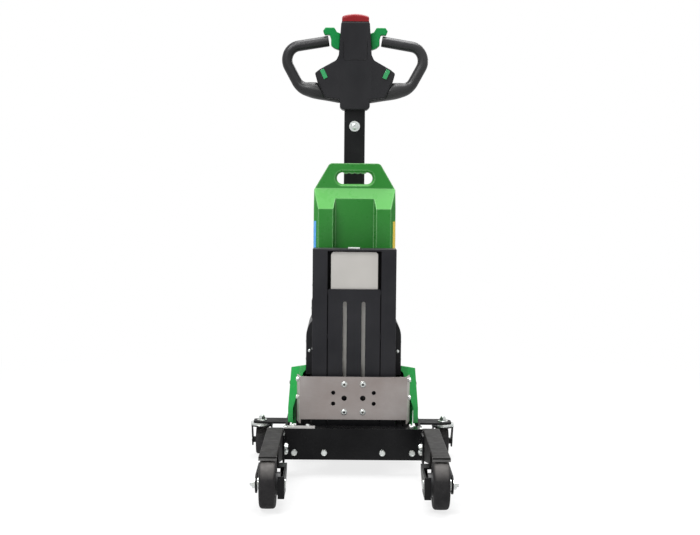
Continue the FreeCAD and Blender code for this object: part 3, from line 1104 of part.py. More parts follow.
def make_parts():
    """Every sub-part by its node name."""
    head = tiller_head()
    parts = {
        "cross_member": cross_member(),
        "base_frame": base_frame(),
        "drive_unit": drive_unit(),
        "mast_frame": mast_frame(),
        "slot_cover": slot_cover(),
        "mast_plate": mast_plate(),
        "carriage": carriage(),
        "hitch_plate": hitch_plate(),
        "body_housing": body_housing(),
        "rear_panel": rear_panel(),
        "battery_tray": battery_tray(),
        "battery_case": battery_case(),
        "panel_controls": Part.makeCompound([key_switch(), charge_gauge()]),
        "tiller_stop": tiller_stop(),
        "tiller_bracket": tiller_bracket(),
        "tiller_pin": tiller_pin(),
        "tiller_bar": tiller_bar(),
        "tiller_head": head,
        "thumb_levers": thumb_levers(head),
        "belly_button": belly_button(),
        "head_buttons": head_buttons(head),
    }
    for name, make in {"front_axles": front_axle, "castor_heads": castor_head}.items():
        right = make()
        parts[name] = Part.makeCompound([mirrored(right, sign) for _, sign in SIDES])
    paired = {
        "leg": leg, "fork": fork, "front_tyre": front_tyre, "front_hub": front_hub,
        "outrigger": outrigger, "castor_fork": castor_fork, "castor_wheel": castor_wheel,
        "drive_tyre": drive_tyre, "drive_rim": drive_rim, "wheel_cover": wheel_cover,
    }
    for name, make in paired.items():
        right = make()
        for side, sign in SIDES:
            parts[name + "_" + side] = mirrored(right, sign)
    right = handle(head)
    for side, sign in SIDES:
        parts["handle_" + side] = mirrored(right, sign)
    return parts


os.makedirs("parts", exist_ok=True)
for node, shape in make_parts().items():
    if not shape.isValid():
        print("not valid:", node)
    shape.exportStep("parts/" + node + ".step")
    limits = shape.BoundBox
    print(node, len(shape.Solids), [round(v, 1) for v in (
        limits.XMin, limits.XMax, limits.YMin, limits.YMax, limits.ZMin, limits.ZMax)])
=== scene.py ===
"""Looks of the electric tow tractor: finishes, fasteners and fine parts round its CAD frame.

The frame is in metres: +Z up, -Y the hitch side, +Y the operator's side. Places come from the boxes
of the CAD nodes where they can. Outlines, profiles and the sizes of fasteners are in millimetres:
mm(), spot() and the fastener functions turn them into metres.
"""
import json
import math

import bmesh
import bpy
from mathutils import Matrix, Vector
from mathutils.bvhtree import BVHTree


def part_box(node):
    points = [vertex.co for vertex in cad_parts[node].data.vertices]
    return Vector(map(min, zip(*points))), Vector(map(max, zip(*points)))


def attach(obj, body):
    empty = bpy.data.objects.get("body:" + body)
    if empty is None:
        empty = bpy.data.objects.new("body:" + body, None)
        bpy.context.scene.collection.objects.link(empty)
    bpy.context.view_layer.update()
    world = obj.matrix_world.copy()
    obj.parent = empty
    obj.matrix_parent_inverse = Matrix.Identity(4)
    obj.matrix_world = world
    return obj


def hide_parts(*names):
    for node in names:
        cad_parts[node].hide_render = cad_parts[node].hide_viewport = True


MM = 0.001
SIDES = (("left", -1), ("right", 1))
UP, FRONT, REAR = (0, 0, 1), (0, -1, 0), (0, 1, 0)
BLACK, WHITE = (0, 0, 0, 1), (1, 1, 1, 1)
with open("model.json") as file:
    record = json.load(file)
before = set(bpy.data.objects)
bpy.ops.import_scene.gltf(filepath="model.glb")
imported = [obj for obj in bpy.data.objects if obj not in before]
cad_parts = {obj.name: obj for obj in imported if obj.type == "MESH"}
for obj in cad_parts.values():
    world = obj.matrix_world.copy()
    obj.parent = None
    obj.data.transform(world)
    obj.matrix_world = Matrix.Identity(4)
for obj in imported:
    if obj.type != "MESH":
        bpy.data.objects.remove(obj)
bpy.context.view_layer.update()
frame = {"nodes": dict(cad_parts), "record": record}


# ---- places and sizes ----
def mm(*points):
    """Points in millimetres as a list of points in metres."""
    return [tuple(value * MM for value in point) for point in points]


def spot(x, y, z):
    """Place or step in millimetres as a vector in metres."""
    return Vector((x, y, z)) * MM


def rectangle(left, low, right, high):
    """Outline of a rectangle from its sides in millimetres."""
    return mm((left, low), (right, low), (right, high), (left, high))


def span(node, axis):
    """Lowest and highest value of a CAD node along an axis."""
    low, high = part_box(node)
    return low["xyz".index(axis)], high["xyz".index(axis)]


def half_span(node, axis):
    low, high = span(node, axis)
    return (high - low) / 2


def middle(node):
    low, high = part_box(node)
    return (low + high) / 2


CROSS_LOW, CROSS_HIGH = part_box("cross_member")
MAST_LOW, MAST_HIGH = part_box("mast_frame")
HOUSING_LOW, HOUSING_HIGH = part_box("body_housing")
BATTERY_LOW, BATTERY_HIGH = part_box("battery_case")
HITCH_FRONT = span("hitch_plate", "y")[0]
PANEL_REAR = span("rear_panel", "y")[1]
CROSS_FRONT = span("leg_left", "y")[1]


# ---- node helpers ----
class Nodes:
    """A node tree with short calls to add and join nodes."""

    def __init__(self, tree):
        self.tree = tree

    def add(self, kind, **values):
        node = self.tree.nodes.new("ShaderNode" + kind)
        for key, value in values.items():
            setattr(node, key, value)
        return node

    def put(self, node, name, value):
        """Give a socket a value, or join another node's output to it."""
        target = node.inputs[name]
        if isinstance(value, bpy.types.NodeSocket):
            self.tree.links.new(value, target)
        else:
            target.default_value = value

    def math(self, operation, a, b=0.0):
        node = self.add("Math", operation=operation)
        self.put(node, 0, a)
        self.put(node, 1, b)
        return node.outputs[0]

    def seen_directly(self, *others):
        """1 for rays from the camera and for the other kinds named, 0 for the rest."""
        path = self.add("LightPath")
        total = path.outputs["Is Camera Ray"]
        for kind in others:
            total = self.math("ADD", total, path.outputs["Is %s Ray" % kind])
        return self.math("MINIMUM", total, 1.0)

    def mix_shaders(self, share, first, second):
        mix = self.add("MixShader")
        for socket, value in enumerate((share, first, second)):
            self.put(mix, socket, value)
        return mix.outputs[0]


class Finish(Nodes):
    """One material's node tree, with the textures that the finishes share."""

    def __init__(self, name):
        self.material = bpy.data.materials.new(name)
        self.material.use_nodes = True
        super().__init__(self.material.node_tree)
        self.shader = self.tree.nodes["Principled BSDF"]
        self.place = self.add("TexCoord").outputs["Object"]

    def noise(self, scale, detail=3.0, rough=0.5, stretch=(1, 1, 1)):
        """Noise from 0 to 1; scale is in features per metre, stretch per axis."""
        mapping = self.add("Mapping")
        self.put(mapping, "Vector", self.place)
        self.put(mapping, "Scale", Vector(stretch))
        node = self.add("TexNoise")
        self.put(node, "Vector", mapping.outputs["Vector"])
        self.put(node, "Scale", scale)
        self.put(node, "Detail", detail)
        self.put(node, "Roughness", rough)
        return node.outputs["Fac"]

    def ramp(self, value, low, high, out_low=0.0, out_high=1.0):
        node = self.add("MapRange")
        for name, number in (("Value", value), ("From Min", low), ("From Max", high),
                             ("To Min", out_low), ("To Max", out_high)):
            self.put(node, name, number)
        return node.outputs["Result"]

    def patches(self, noise, low=0.3, high=0.7, out_low=0.0, out_high=1.0):
        """Noise whose middle range is stretched to run from out_low to out_high."""
        return self.ramp(self.noise(*noise), low, high, out_low, out_high)

    def blend(self, share, first, second):
        """Colour that goes from first to second as share goes from 0 to 1."""
        node = self.add("Mix", data_type="RGBA")
        for socket, value in ((0, share), (6, first), (7, second)):
            self.put(node, socket, value)
        return node.outputs[2]

    def worn(self, base, colour, radius, share, low=0.06, high=0.45, broken=0.65):
        """The base with the shape's edges painted towards colour, as wear and, in some finishes, as
        painted highlights; a lower broken leaves fewer gaps.
        """
        bevel = self.add("Bevel", samples=4)
        self.put(bevel, "Radius", radius * MM)
        dot = self.add("VectorMath", operation="DOT_PRODUCT")
        self.put(dot, 0, bevel.outputs["Normal"])
        self.put(dot, 1, self.add("NewGeometry").outputs["Normal"])
        turned = self.math("SUBTRACT", 1.0, dot.outputs["Value"])
        patchy = self.patches((160, 4), broken - 0.3, broken)
        edges = self.math("MULTIPLY", self.ramp(turned, low, high), patchy)
        return self.blend(self.math("MULTIPLY", edges, share), base, colour)

    def upward(self, low=0.3, high=0.95):
        """1 on faces that look up, 0 on those that don't."""
        split = self.add("SeparateXYZ")
        self.put(split, 0, self.add("NewGeometry").outputs["Normal"])
        return self.ramp(split.outputs["Z"], low, high)

    def bump(self, value, strength, distance):
        """Bump from a value; distance is in millimetres."""
        node = self.add("Bump")
        self.put(node, "Height", value)
        self.put(node, "Strength", strength)
        self.put(node, "Distance", distance * MM)
        self.put(self.shader, "Normal", node.outputs["Normal"])

    def finish(self, colour, roughness, **constants):
        """Join colour and roughness, and set the shader's other sockets to plain numbers."""
        self.put(self.shader, "Base Color", colour)
        self.put(self.shader, "Roughness", roughness)
        for name, value in constants.items():
            self.put(self.shader, name.replace("_", " "), value)
        return self.material


def rgb(red, green, blue):
    """Colour as seen on screen, 0 to 255, as the linear colour that the shader takes."""
    def linear(value):
        value /= 255
        return value / 12.92 if value <= 0.04045 else ((value + 0.055) / 1.055) ** 2.4
    return (linear(red), linear(green), linear(blue), 1.0)


def mixed(first, second, share):
    """Colour that lies a share of the way from first to second."""
    return tuple(a + (b - a) * share for a, b in zip(first, second))


# ---- finishes ----
def powder_coat(name, colour, gloss=0.42, specular=0.3, wear=0.5, dust=0.0):
    """Powder coat: orange-peel bump, cloudy sheen, pale scuffs along edges (on the legs and their
    lips partly a painted highlight) and dust on top.
    """
    f = Finish(name)
    base = f.blend(f.patches((9, 4)), mixed(colour, BLACK, 0.12), mixed(colour, WHITE, 0.008))
    # pale edges: wear, and with the high wear of the legs and lips a painted highlight
    scuffed_and_highlit = f.worn(base, rgb(128, 126, 122), 1.2, wear)
    grime = f.math("MULTIPLY", f.upward(), f.patches((38, 5, 0.65), 0.42, 0.75, 0, dust))
    f.bump(f.noise(900, 2), 0.10, 0.25)
    return f.finish(f.blend(grime, scuffed_and_highlit, rgb(120, 114, 106)),
                    f.patches((60, 5, 0.6), 0.3, 0.7, gloss - 0.07, gloss + 0.10),
                    Specular_IOR_Level=specular)


def moulded_plastic(name, colour, gloss=0.5, grain=1500, depth=0.16, specular=0.4, edge=1.5,
                    edge_rub_and_highlight=0.35, roll=(0.06, 0.45), painted_top_light=None):
    """Moulded plastic: fine grain, slight flow marks, edges painted paler as rubbing and, where the
    share is large, as painted highlights; when a top colour is given, faces that look up are
    painted lighter, as painted light from above.
    """
    f = Finish(name)
    flow = f.patches((7, 3, 0.5, (1, 1, 0.45)))
    base = f.blend(flow, mixed(colour, BLACK, 0.12), mixed(colour, WHITE, 0.015))
    # painted light: faces that look up are painted towards the lighter top colour, as if lit from
    # above
    if painted_top_light:
        base = f.blend(f.upward(0.1, 1.0), base, painted_top_light)
    # paler edges: rubbing, and a painted highlight along rounded edges when the share and width are
    # large
    rubbed = f.worn(base, mixed(painted_top_light or colour, WHITE, 0.22), edge, edge_rub_and_highlight, *roll)
    f.bump(f.noise(grain, 2, 0.6), depth, 0.18)
    return f.finish(rubbed, f.patches((24, 4, 0.6), 0.3, 0.7, gloss - 0.08, gloss + 0.08),
                    Specular_IOR_Level=specular)


def gloss_paint(name, colour):
    """Gloss paint on sheet metal: faint peel under a clear coat, with small chips on its edges."""
    f = Finish(name)
    base = f.blend(f.patches((5, 3)), mixed(colour, BLACK, 0.10), mixed(colour, WHITE, 0.02))
    chips = f.worn(base, rgb(205, 214, 205), 1.0, 0.35)
    film = f.math("MULTIPLY", f.upward(), f.patches((45, 5, 0.65), 0.45, 0.8, 0, 0.07))
    f.bump(f.noise(420, 2), 0.06, 0.3)
    return f.finish(f.blend(film, chips, rgb(190, 186, 176)),
                    f.patches((30, 4, 0.6), 0.3, 0.7, 0.17, 0.32),
                    Specular_IOR_Level=0.15, Coat_Weight=0.12, Coat_Roughness=0.12)


def brushed_steel(name, colour):
    """Brushed stainless steel: fine lines across it, cloudy handling marks, paler clouds as painted
    soft reflections and edges painted near-white as painted highlights.
    """
    f = Finish(name)
    lines = f.noise(40, 6, 0.7, (1, 1, 60))
    base = f.blend(f.ramp(lines, 0.25, 0.75), mixed(colour, BLACK, 0.09),
                   mixed(colour, WHITE, 0.05))
    # paler clouds: painted soft reflections on the plate
    pale = f.blend(f.patches((6, 2, 0.4), 0.47, 0.66, 0, 0.8), base, mixed(colour, WHITE, 0.16))
    clouds = f.patches((11, 5, 0.6), 0.32, 0.70, 0, 0.6)
    stained = f.blend(clouds, pale, mixed(colour, rgb(120, 104, 98), 0.6))
    f.bump(lines, 0.03, 0.12)
    # edges painted near-white: painted highlights along the plate's edges
    return f.finish(f.worn(stained, rgb(236, 234, 230), 0.9, 0.8),
                    f.patches((14, 5, 0.6), 0.3, 0.7, 0.28, 0.46), Metallic=0.85)


def zinc_plate(name, colour=rgb(206, 210, 208), rough=0.27):
    """Bright zinc plate: slightly mottled, with a faint yellow cast in places."""
    f = Finish(name)
    base = f.blend(f.patches((120, 4, 0.6)), mixed(colour, BLACK, 0.16), colour)
    f.bump(f.noise(700, 2), 0.05, 0.1)
    return f.finish(f.blend(f.patches((70, 3), 0.5, 0.8, 0, 0.35), base, rgb(196, 190, 160)),
                    f.patches((300, 3), 0.3, 0.7, rough - 0.06, rough + 0.12), Metallic=0.9)


def tyre_rubber(name, colour=rgb(33, 32, 33), dust=0.55):
    """Black rubber with grey floor dust, thicker on the tread's upper side, where the grey is also
    painted light from above, and fine scuffs.
    """
    f = Finish(name)
    base = f.blend(f.patches((30, 5, 0.65)), mixed(colour, BLACK, 0.35), colour)
    # grey on faces that look up: floor dust, and painted light that makes the tyre's top read
    # lighter
    upper = f.math("MULTIPLY", f.upward(0.34, 1.0), f.patches((40, 6, 0.7), 0.25, 0.65, 0.55, 1.0))
    dust_and_top_light = f.blend(f.math("MULTIPLY", upper, dust), base, rgb(150, 146, 143))
    scuffs = f.patches((420, 3, 0.7), 0.60, 0.72, 0, 0.14)
    f.bump(f.noise(800, 4, 0.7), 0.35, 0.3)
    return f.finish(f.blend(scuffs, dust_and_top_light, rgb(120, 116, 112)),
                    f.patches((90, 4), 0.3, 0.7, 0.62, 0.85), Specular_IOR_Level=0.2)


def cast_alloy(name, colour=rgb(150, 151, 154)):
    """Cast aluminium with a sandy skin."""
    f = Finish(name)
    base = f.blend(f.patches((50, 5)), mixed(colour, BLACK, 0.22), colour)
    f.bump(f.noise(650, 3, 0.6), 0.3, 0.25)
    return f.finish(f.worn(base, rgb(220, 220, 222), 1.0, 0.6),
                    f.patches((80, 4), 0.3, 0.7, 0.38, 0.55), Metallic=0.8)


def dark_glass(name):
    """Small smoked display window, smooth, with a faint smear."""
    f = Finish(name)
    colour = f.blend(f.patches((90, 4), 0.4, 0.8, 0, 0.25), rgb(12, 14, 16), rgb(60, 64, 66))
    return f.finish(colour, f.patches((40, 3), 0.3, 0.7, 0.05, 0.16), Coat_Weight=0.6)


def sticker(name, colour):
    """Plain printed film: satin, very slightly mottled, worn paler along its edges."""
    f = Finish(name)
    base = f.blend(f.patches((60, 4)), mixed(colour, BLACK, 0.06), mixed(colour, WHITE, 0.05))
    return f.finish(f.worn(base, rgb(225, 225, 220), 0.6, 0.5),
                    f.patches((200, 3), 0.3, 0.7, 0.30, 0.42))


SATIN_BLACK = powder_coat("satin_black_coat", rgb(24, 24, 27), specular=0.16, wear=0.35, dust=0.1)
MAST_BLACK = powder_coat("mast_black_coat", rgb(28, 28, 32), gloss=0.44, specular=0.18, wear=0.22,
                         dust=0.06)
BAR_BLACK = powder_coat("tiller_bar_coat", rgb(14, 14, 16), specular=0.12, wear=0.2)
# Legs: their strong pale edge scuffs are partly wear and partly a painted highlight where the edges
# catch light
LEG_BLACK = powder_coat("leg_black_coat", rgb(25, 24, 24), gloss=0.56, specular=0.10, wear=0.8,
                        dust=0.05)
# Lip of the legs' tongues: the legs' black steel painted grey with fully pale edges, a painted
# highlight on the bend
LIP_PAINTED_HIGHLIGHT = powder_coat("leg_lip_painted_highlight_coat", rgb(88, 87, 86), gloss=0.45, specular=0.25, wear=1.0,
                        dust=0.05)
GLOSS_BLACK = powder_coat("gloss_black_coat", rgb(7, 7, 9), gloss=0.22, specular=0.10, wear=0.3,
                          dust=0.03)
# Near-black coat: the real dark joints (seams, parting line), and painted shade on the outriggers,
# in the hitch bolts' sockets and under the red button
JOINT_AND_SHADE_BLACK = powder_coat("joint_and_painted_shade_black_coat", rgb(12, 12, 14), gloss=0.6, specular=0.15, wear=0.0)
CASTOR_BLACK = powder_coat("castor_black_coat", rgb(17, 17, 18), specular=0.2, wear=0.1)
LIGHT_COAT = powder_coat("light_plate_coat", rgb(186, 183, 178), gloss=0.48, specular=0.4, wear=0.3)
# Paler copy of the light plate's coat: painted light behind the slots
STRIP_PAINTED_LIGHT = powder_coat("slot_strip_painted_light_coat", rgb(238, 235, 228), gloss=0.5, specular=0.4,
                         wear=0.0)
ANGLE_GREY = powder_coat("angle_strip_coat", rgb(168, 166, 164), gloss=0.40, specular=0.45,
                         wear=0.3)
STAINLESS = brushed_steel("brushed_stainless", rgb(150, 143, 140))
ZINC = zinc_plate("bright_zinc")
# Dark coat: black oxide on the cover screws, and painted shade on the carriage
DARK_SCREW = zinc_plate("dark_oxide_and_painted_shade", rgb(58, 58, 60), 0.4)
# Battery plastic: faces that look up painted lighter green as painted light from above, and its
# rounded edges painted pale as painted highlights
BATTERY_GREEN = moulded_plastic("battery_green_plastic", rgb(34, 122, 37), gloss=0.30, grain=1100,
                                depth=0.02, specular=0.24, edge=5.0, edge_rub_and_highlight=0.75,
                                roll=(0.015, 0.11, 0.4), painted_top_light=rgb(90, 172, 78))
COVER_GREEN = gloss_paint("cover_green_paint", rgb(34, 158, 72))
LEVER_GREEN = moulded_plastic("lever_green_plastic", rgb(2, 124, 58), gloss=0.32, grain=2000,
                              depth=0.05, specular=0.15)
# Push buttons: edges painted pale at full share, a painted highlight on their rounded edges
BUTTON_GREEN = moulded_plastic("button_green_plastic", rgb(30, 142, 80), gloss=0.22, grain=2000,
                               depth=0.03, specular=0.5, edge=2.5, edge_rub_and_highlight=1.0)
BUTTON_RED = moulded_plastic("button_red_plastic", rgb(126, 14, 22), gloss=0.30, grain=2000,
                             depth=0.05, specular=0.2)
HEAD_PLASTIC = moulded_plastic("head_black_plastic", rgb(24, 24, 27), gloss=0.44, grain=1700,
                               depth=0.2, specular=0.15)
GRIP_PLASTIC = moulded_plastic("grip_black_plastic", rgb(21, 21, 23), gloss=0.36, depth=0.03,
                               specular=0.30)
CONTROL_BLACK = moulded_plastic("control_black_plastic", rgb(26, 26, 28), gloss=0.3)
HUB_PLASTIC = moulded_plastic("hub_black_plastic", rgb(40, 40, 42), gloss=0.45)
BUFFER_RUBBER = tyre_rubber("buffer_rubber", rgb(34, 34, 35), dust=0.15)
TYRE = tyre_rubber("tyre_rubber")
CASTOR_TREAD = tyre_rubber("castor_rubber", rgb(44, 43, 44), dust=0.4)
RIM_ALLOY = cast_alloy("rim_alloy")
MOTOR_GREY = cast_alloy("motor_casting", rgb(72, 73, 76))
DISPLAY_GLASS = dark_glass("display_glass")
BLUE_LABEL = sticker("blue_label_film", rgb(70, 150, 220))
YELLOW_LABEL = sticker("yellow_label_film", rgb(232, 200, 60))
WHITE_LABEL = sticker("white_label_film", rgb(214, 216, 214))


# ---- mesh helpers ----
def placed(name, data):
    """New object of the data in the scene."""
    thing = bpy.data.objects.new(name, data)
    bpy.context.scene.collection.objects.link(thing)
    return thing


def mesh_of(bm, name):
    """Mesh of a bmesh, which is freed."""
    mesh = bpy.data.meshes.new(name)
    bm.to_mesh(mesh)
    bm.free()
    return mesh


def at(point, direction, spin=0.0):
    """Matrix at point whose local Z runs along direction, turned about it by spin in degrees."""
    turn = Vector(direction).normalized().to_track_quat("Z", "Y").to_matrix().to_4x4()
    return Matrix.Translation(Vector(point)) @ turn @ Matrix.Rotation(math.radians(spin), 4, "Z")


def arc(centre, radius, angles):
    """Points round a centre at angles in degrees."""
    return [(centre[0] + radius * math.cos(a), centre[1] + radius * math.sin(a))
            for a in map(math.radians, angles)]


def rounded_rectangle(width, height, radius, steps=6):
    """Corner-rounded outline about its middle, from sizes in millimetres."""
    points = []
    for quarter, (sx, sy) in enumerate(((1, 1), (-1, 1), (-1, -1), (1, -1))):
        corner = (sx * (width / 2 - radius), sy * (height / 2 - radius))
        points += arc(corner, radius, [90 * (quarter + k / steps) for k in range(steps + 1)])
    return mm(*points)


def ring(place, radius, height=0.0, steps=32):
    """Points round the place's local Z; a negative radius gives a hexagon of that half width."""
    points = []
    for k in range(steps):
        angle = 2 * math.pi * k / steps
        reach = radius
        if radius < 0:
            reach = -radius / math.cos((angle + math.pi / 6) % (math.pi / 3) - math.pi / 6)
        points.append(place @ Vector((reach * math.cos(angle), reach * math.sin(angle), height)))
    return points


def mirrored(half):
    """Wheel section from its half up to the middle plane, as (radius, height) points."""
    return half + [(r, -h) for r, h in reversed(half) if h]


class Mould:
    """Collects surfaces in the frame's metres, to become one piece."""

    def __init__(self):
        self.bm = bmesh.new()

    def skin(self, rings, cap_start=True, closed=False):
        """Quads between rings of as many points each, with flat caps at the ends."""
        made = [[self.bm.verts.new(p) for p in points] for points in rings]
        count = len(made[0])
        pairs = list(zip(made, made[1:])) + ([(made[-1], made[0])] if closed else [])
        for low, high in pairs:
            for k in range(count):
                n = (k + 1) % count
                self.bm.faces.new((low[k], low[n], high[n], high[k]))
        if cap_start and not closed:
            self.bm.faces.new(list(reversed(made[0])))
        if not closed:
            self.bm.faces.new(made[-1])

    def lathe(self, place, profile, steps=32, closed=False):
        """Turned shape about the place's local Z, from (radius, height) points in metres."""
        rings = [ring(place, radius, height, steps) for radius, height in profile]
        self.skin(rings, closed=closed)

    def slab(self, place, outline, depth, inset=0.0):
        """Plate on an (x, y) outline in metres; depth and the bevel's inset in millimetres."""
        centre = sum((Vector(p) for p in outline), Vector((0, 0))) / len(outline)
        levels = [(0, 0), (depth - inset, 0)] + ([(depth, inset)] if inset else [])
        rings = []
        for height, margin in levels:
            points = []
            for p in outline:
                away = Vector(p) - centre
                near = centre + away * (1 - margin * MM / away.length)
                points.append(place @ Vector((*near, height * MM)))
            rings.append(points)
        self.skin(rings)

    def tube(self, points, radius, steps=10):
        """Round wire along points, with flat ends."""
        rings = []
        for k, point in enumerate(points):
            before, after = points[max(k - 1, 0)], points[min(k + 1, len(points) - 1)]
            rings.append(ring(at(point, after - before), radius, 0.0, steps))
        self.skin(rings)

    def piece(self, name, body, material, slot, replaces=()):
        """Close the mould into an object that rides on a CAD body."""
        bmesh.ops.recalc_face_normals(self.bm, faces=self.bm.faces)
        return dressed(name, mesh_of(self.bm, name), body, material, 32.0, replaces)


def shaded(mesh, material, smooth):
    """Give a mesh its one material, and smooth shading below an angle in degrees."""
    mesh.materials.clear()
    mesh.materials.append(material)
    mesh.polygons.foreach_set("use_smooth", [True] * len(mesh.polygons))
    mesh.set_sharp_from_angle(angle=math.radians(smooth))


def dressed(name, mesh, body, material, smooth, replaces=()):
    """Object of a mesh with its material, shading and body."""
    piece = placed(name, mesh)
    shaded(mesh, material, smooth)
    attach(piece, body)
    if replaces:
        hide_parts(*replaces)
    return piece


BODY_OF = {node: body for body, nodes in frame["record"]["behaviour"]["bodies"].items()
           for node in nodes}


def finished(node, material):
    """A CAD node that keeps its shape and takes a material."""
    shaded(frame["nodes"][node].data, material, 30.0)


def broken_edges(node, width, material, segments=2, sharper_than=30.0):
    """The CAD node again, welded, with its sharp edges broken by a width in millimetres."""
    bm = bmesh.new()
    bm.from_mesh(frame["nodes"][node].data)
    bmesh.ops.remove_doubles(bm, verts=bm.verts, dist=0.004 * MM)
    bmesh.ops.dissolve_limit(bm, angle_limit=math.radians(0.6), verts=bm.verts, edges=bm.edges)
    wanted = [e for e in bm.edges if len(e.link_faces) == 2
              and e.calc_face_angle(0.0) > math.radians(sharper_than)]
    bmesh.ops.bevel(bm, geom=wanted, offset=width * MM, segments=segments, profile=0.5,
                    affect="EDGES", clamp_overlap=True)
    bmesh.ops.triangulate(bm, faces=[f for f in bm.faces if len(f.verts) > 4])
    name = node + "_finished"
    piece = dressed(name, mesh_of(bm, name), BODY_OF[node], material, 38.0, (node,))
    weighted = piece.modifiers.new("flat faces stay flat", "WEIGHTED_NORMAL")
    weighted.keep_sharp = True
    weighted.weight = 80
    return piece


def softened(node, voxel, passes, material):
    """The CAD node again as one soft moulding: voxels in millimetres, then smoothing passes."""
    name = node + "_moulded"
    piece = placed(name, frame["nodes"][node].data.copy())
    remesh = piece.modifiers.new("remesh", "REMESH")
    remesh.mode = "VOXEL"
    remesh.voxel_size = voxel * MM
    smooth = piece.modifiers.new("smooth", "SMOOTH")
    smooth.factor = 0.5
    smooth.iterations = passes
    depsgraph = bpy.context.evaluated_depsgraph_get()
    final = bpy.data.meshes.new_from_object(piece.evaluated_get(depsgraph))
    bpy.data.objects.remove(piece)
    final.name = name
    return dressed(name, final, BODY_OF[node], material, 60.0, (node,))


# ---- fasteners: sizes in millimetres, at a place whose local Z points out of the surface ----
HEX_STEPS = 36  # a multiple of six, so that the hexagons keep their corners


def hex_bolt(mould, place, across, height, washer=0.0):
    """Hexagon head with a turned chamfer, on a washer of the radius given."""
    half = across / 2
    base = 1.6 if washer else 0.0
    if washer:
        mould.lathe(place, mm((washer, 0), (washer, 1.2), (washer - 0.5, base)))
    top = base + height
    mould.lathe(place, mm((-half, base), (-half, base + height * 0.80), (half * 1.02, top),
                          (half * 0.80, top), (half * 0.76, base + height * 0.95)), HEX_STEPS)


def hex_nut(mould, place, across, height, thread, stub):
    """Nut with the bolt's end standing out of it."""
    half = across / 2
    mould.lathe(place, mm((-half, 0), (-half, height * 0.85), (half * 1.02, height),
                          (thread, height)), HEX_STEPS)
    mould.lathe(place, mm((thread, height * 0.5), (thread, height + stub * 0.8),
                          (thread * 0.8, height + stub)), 20)


def button_bolt(mould, place, radius, height, hexagon):
    """Domed head with a hexagon socket."""
    dome = [(radius * math.cos(a) ** 0.7, height * (0.25 + 0.75 * math.sin(a)))
            for a in map(math.radians, (18, 34, 48, 58))]
    mould.lathe(place, mm((radius, 0), (radius, height * 0.25), *dome,
                          (-hexagon * 1.02, height * 0.96), (-hexagon, height * 0.90),
                          (-hexagon, height * 0.25)), HEX_STEPS)


def dome_screw(mould, place, radius, height):
    """Small plain domed screw head."""
    mould.lathe(place, mm(*[(radius * math.cos(a), height * math.sin(a))
                            for a in map(math.radians, (0, 25, 50, 70, 85))]), 20)


# ---- chassis ----
def legs_and_forks():
    """Legs, forks and outriggers, with the folded edges of the legs and forks."""
    for side, _ in SIDES:
        broken_edges("leg_" + side, 0.9, LEG_BLACK)
        broken_edges("fork_" + side, 0.6, BAR_BLACK)
        # outriggers: near-black coat, darker than the frame's black, as painted shade
        broken_edges("outrigger_" + side, 0.5, JOINT_AND_SHADE_BLACK)
    for side, sign in SIDES:
        leg_lip(side, sign)
        fork_fold(side, sign)


def leg_lip(side, sign):
    """Turned-down lip at the tip of a leg's tongue, with its ends eased, in a grey coat that is a
    painted highlight on the bend.
    """
    leg_low, leg_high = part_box("leg_right")
    tip, top = leg_low.y, leg_high.z
    sheet, bend, drop, ease, lift = (v * MM for v in (4, 7, 9, 0.6, 0.05))
    centre = (tip + bend, top - bend)
    inside = arc(centre, bend - sheet, range(105, 181, 15)) + [(tip + sheet, top - drop)]
    outside = [(tip, top - drop)] + arc(centre, bend, range(180, 90, -15))
    lip = [(tip + bend, top - sheet)] + inside + outside + [(tip + bend, top + lift)]
    ends = sorted((sign * (leg_low.x + ease), sign * (leg_high.x - ease)))
    rings = []
    for x, inset in ((ends[0] - ease, ease), (ends[0], 0), (ends[1], 0), (ends[1] + ease, ease)):
        rings.append([Vector((x, y + (0.6 * inset if y < tip + 1 * MM else 0),
                              z - (inset if z > top - sheet else 0))) for y, z in lip])
    mould = Mould()
    mould.skin(rings)
    mould.piece("leg_lip_" + side, "chassis", LIP_PAINTED_HIGHLIGHT, "satin_black")


def fork_fold(side, sign):
    """Fold along the lower rear edge of a fork's inner cheek."""
    fork_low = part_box("fork_right")[0]
    back, length, width, sheet = (v * MM for v in (69, 74, 15, 3.6))
    slope = Vector((0, 67, 37)).normalized()
    foot = Vector((0, fork_low.y + back, fork_low.z))
    lift = Vector((0, -slope.z, slope.y)) * sheet
    left, right = sorted((sign * (fork_low.x + sheet), sign * (fork_low.x + width)))
    rings = []
    for point in (foot, foot + slope * length):
        low = [Vector((x, point.y, point.z)) for x in (left, right)]
        rings.append(low + [low[1] + lift, low[0] + lift])
    mould = Mould()
    mould.skin(rings)
    mould.piece("fork_fold_" + side, "chassis", BAR_BLACK, "satin_black")


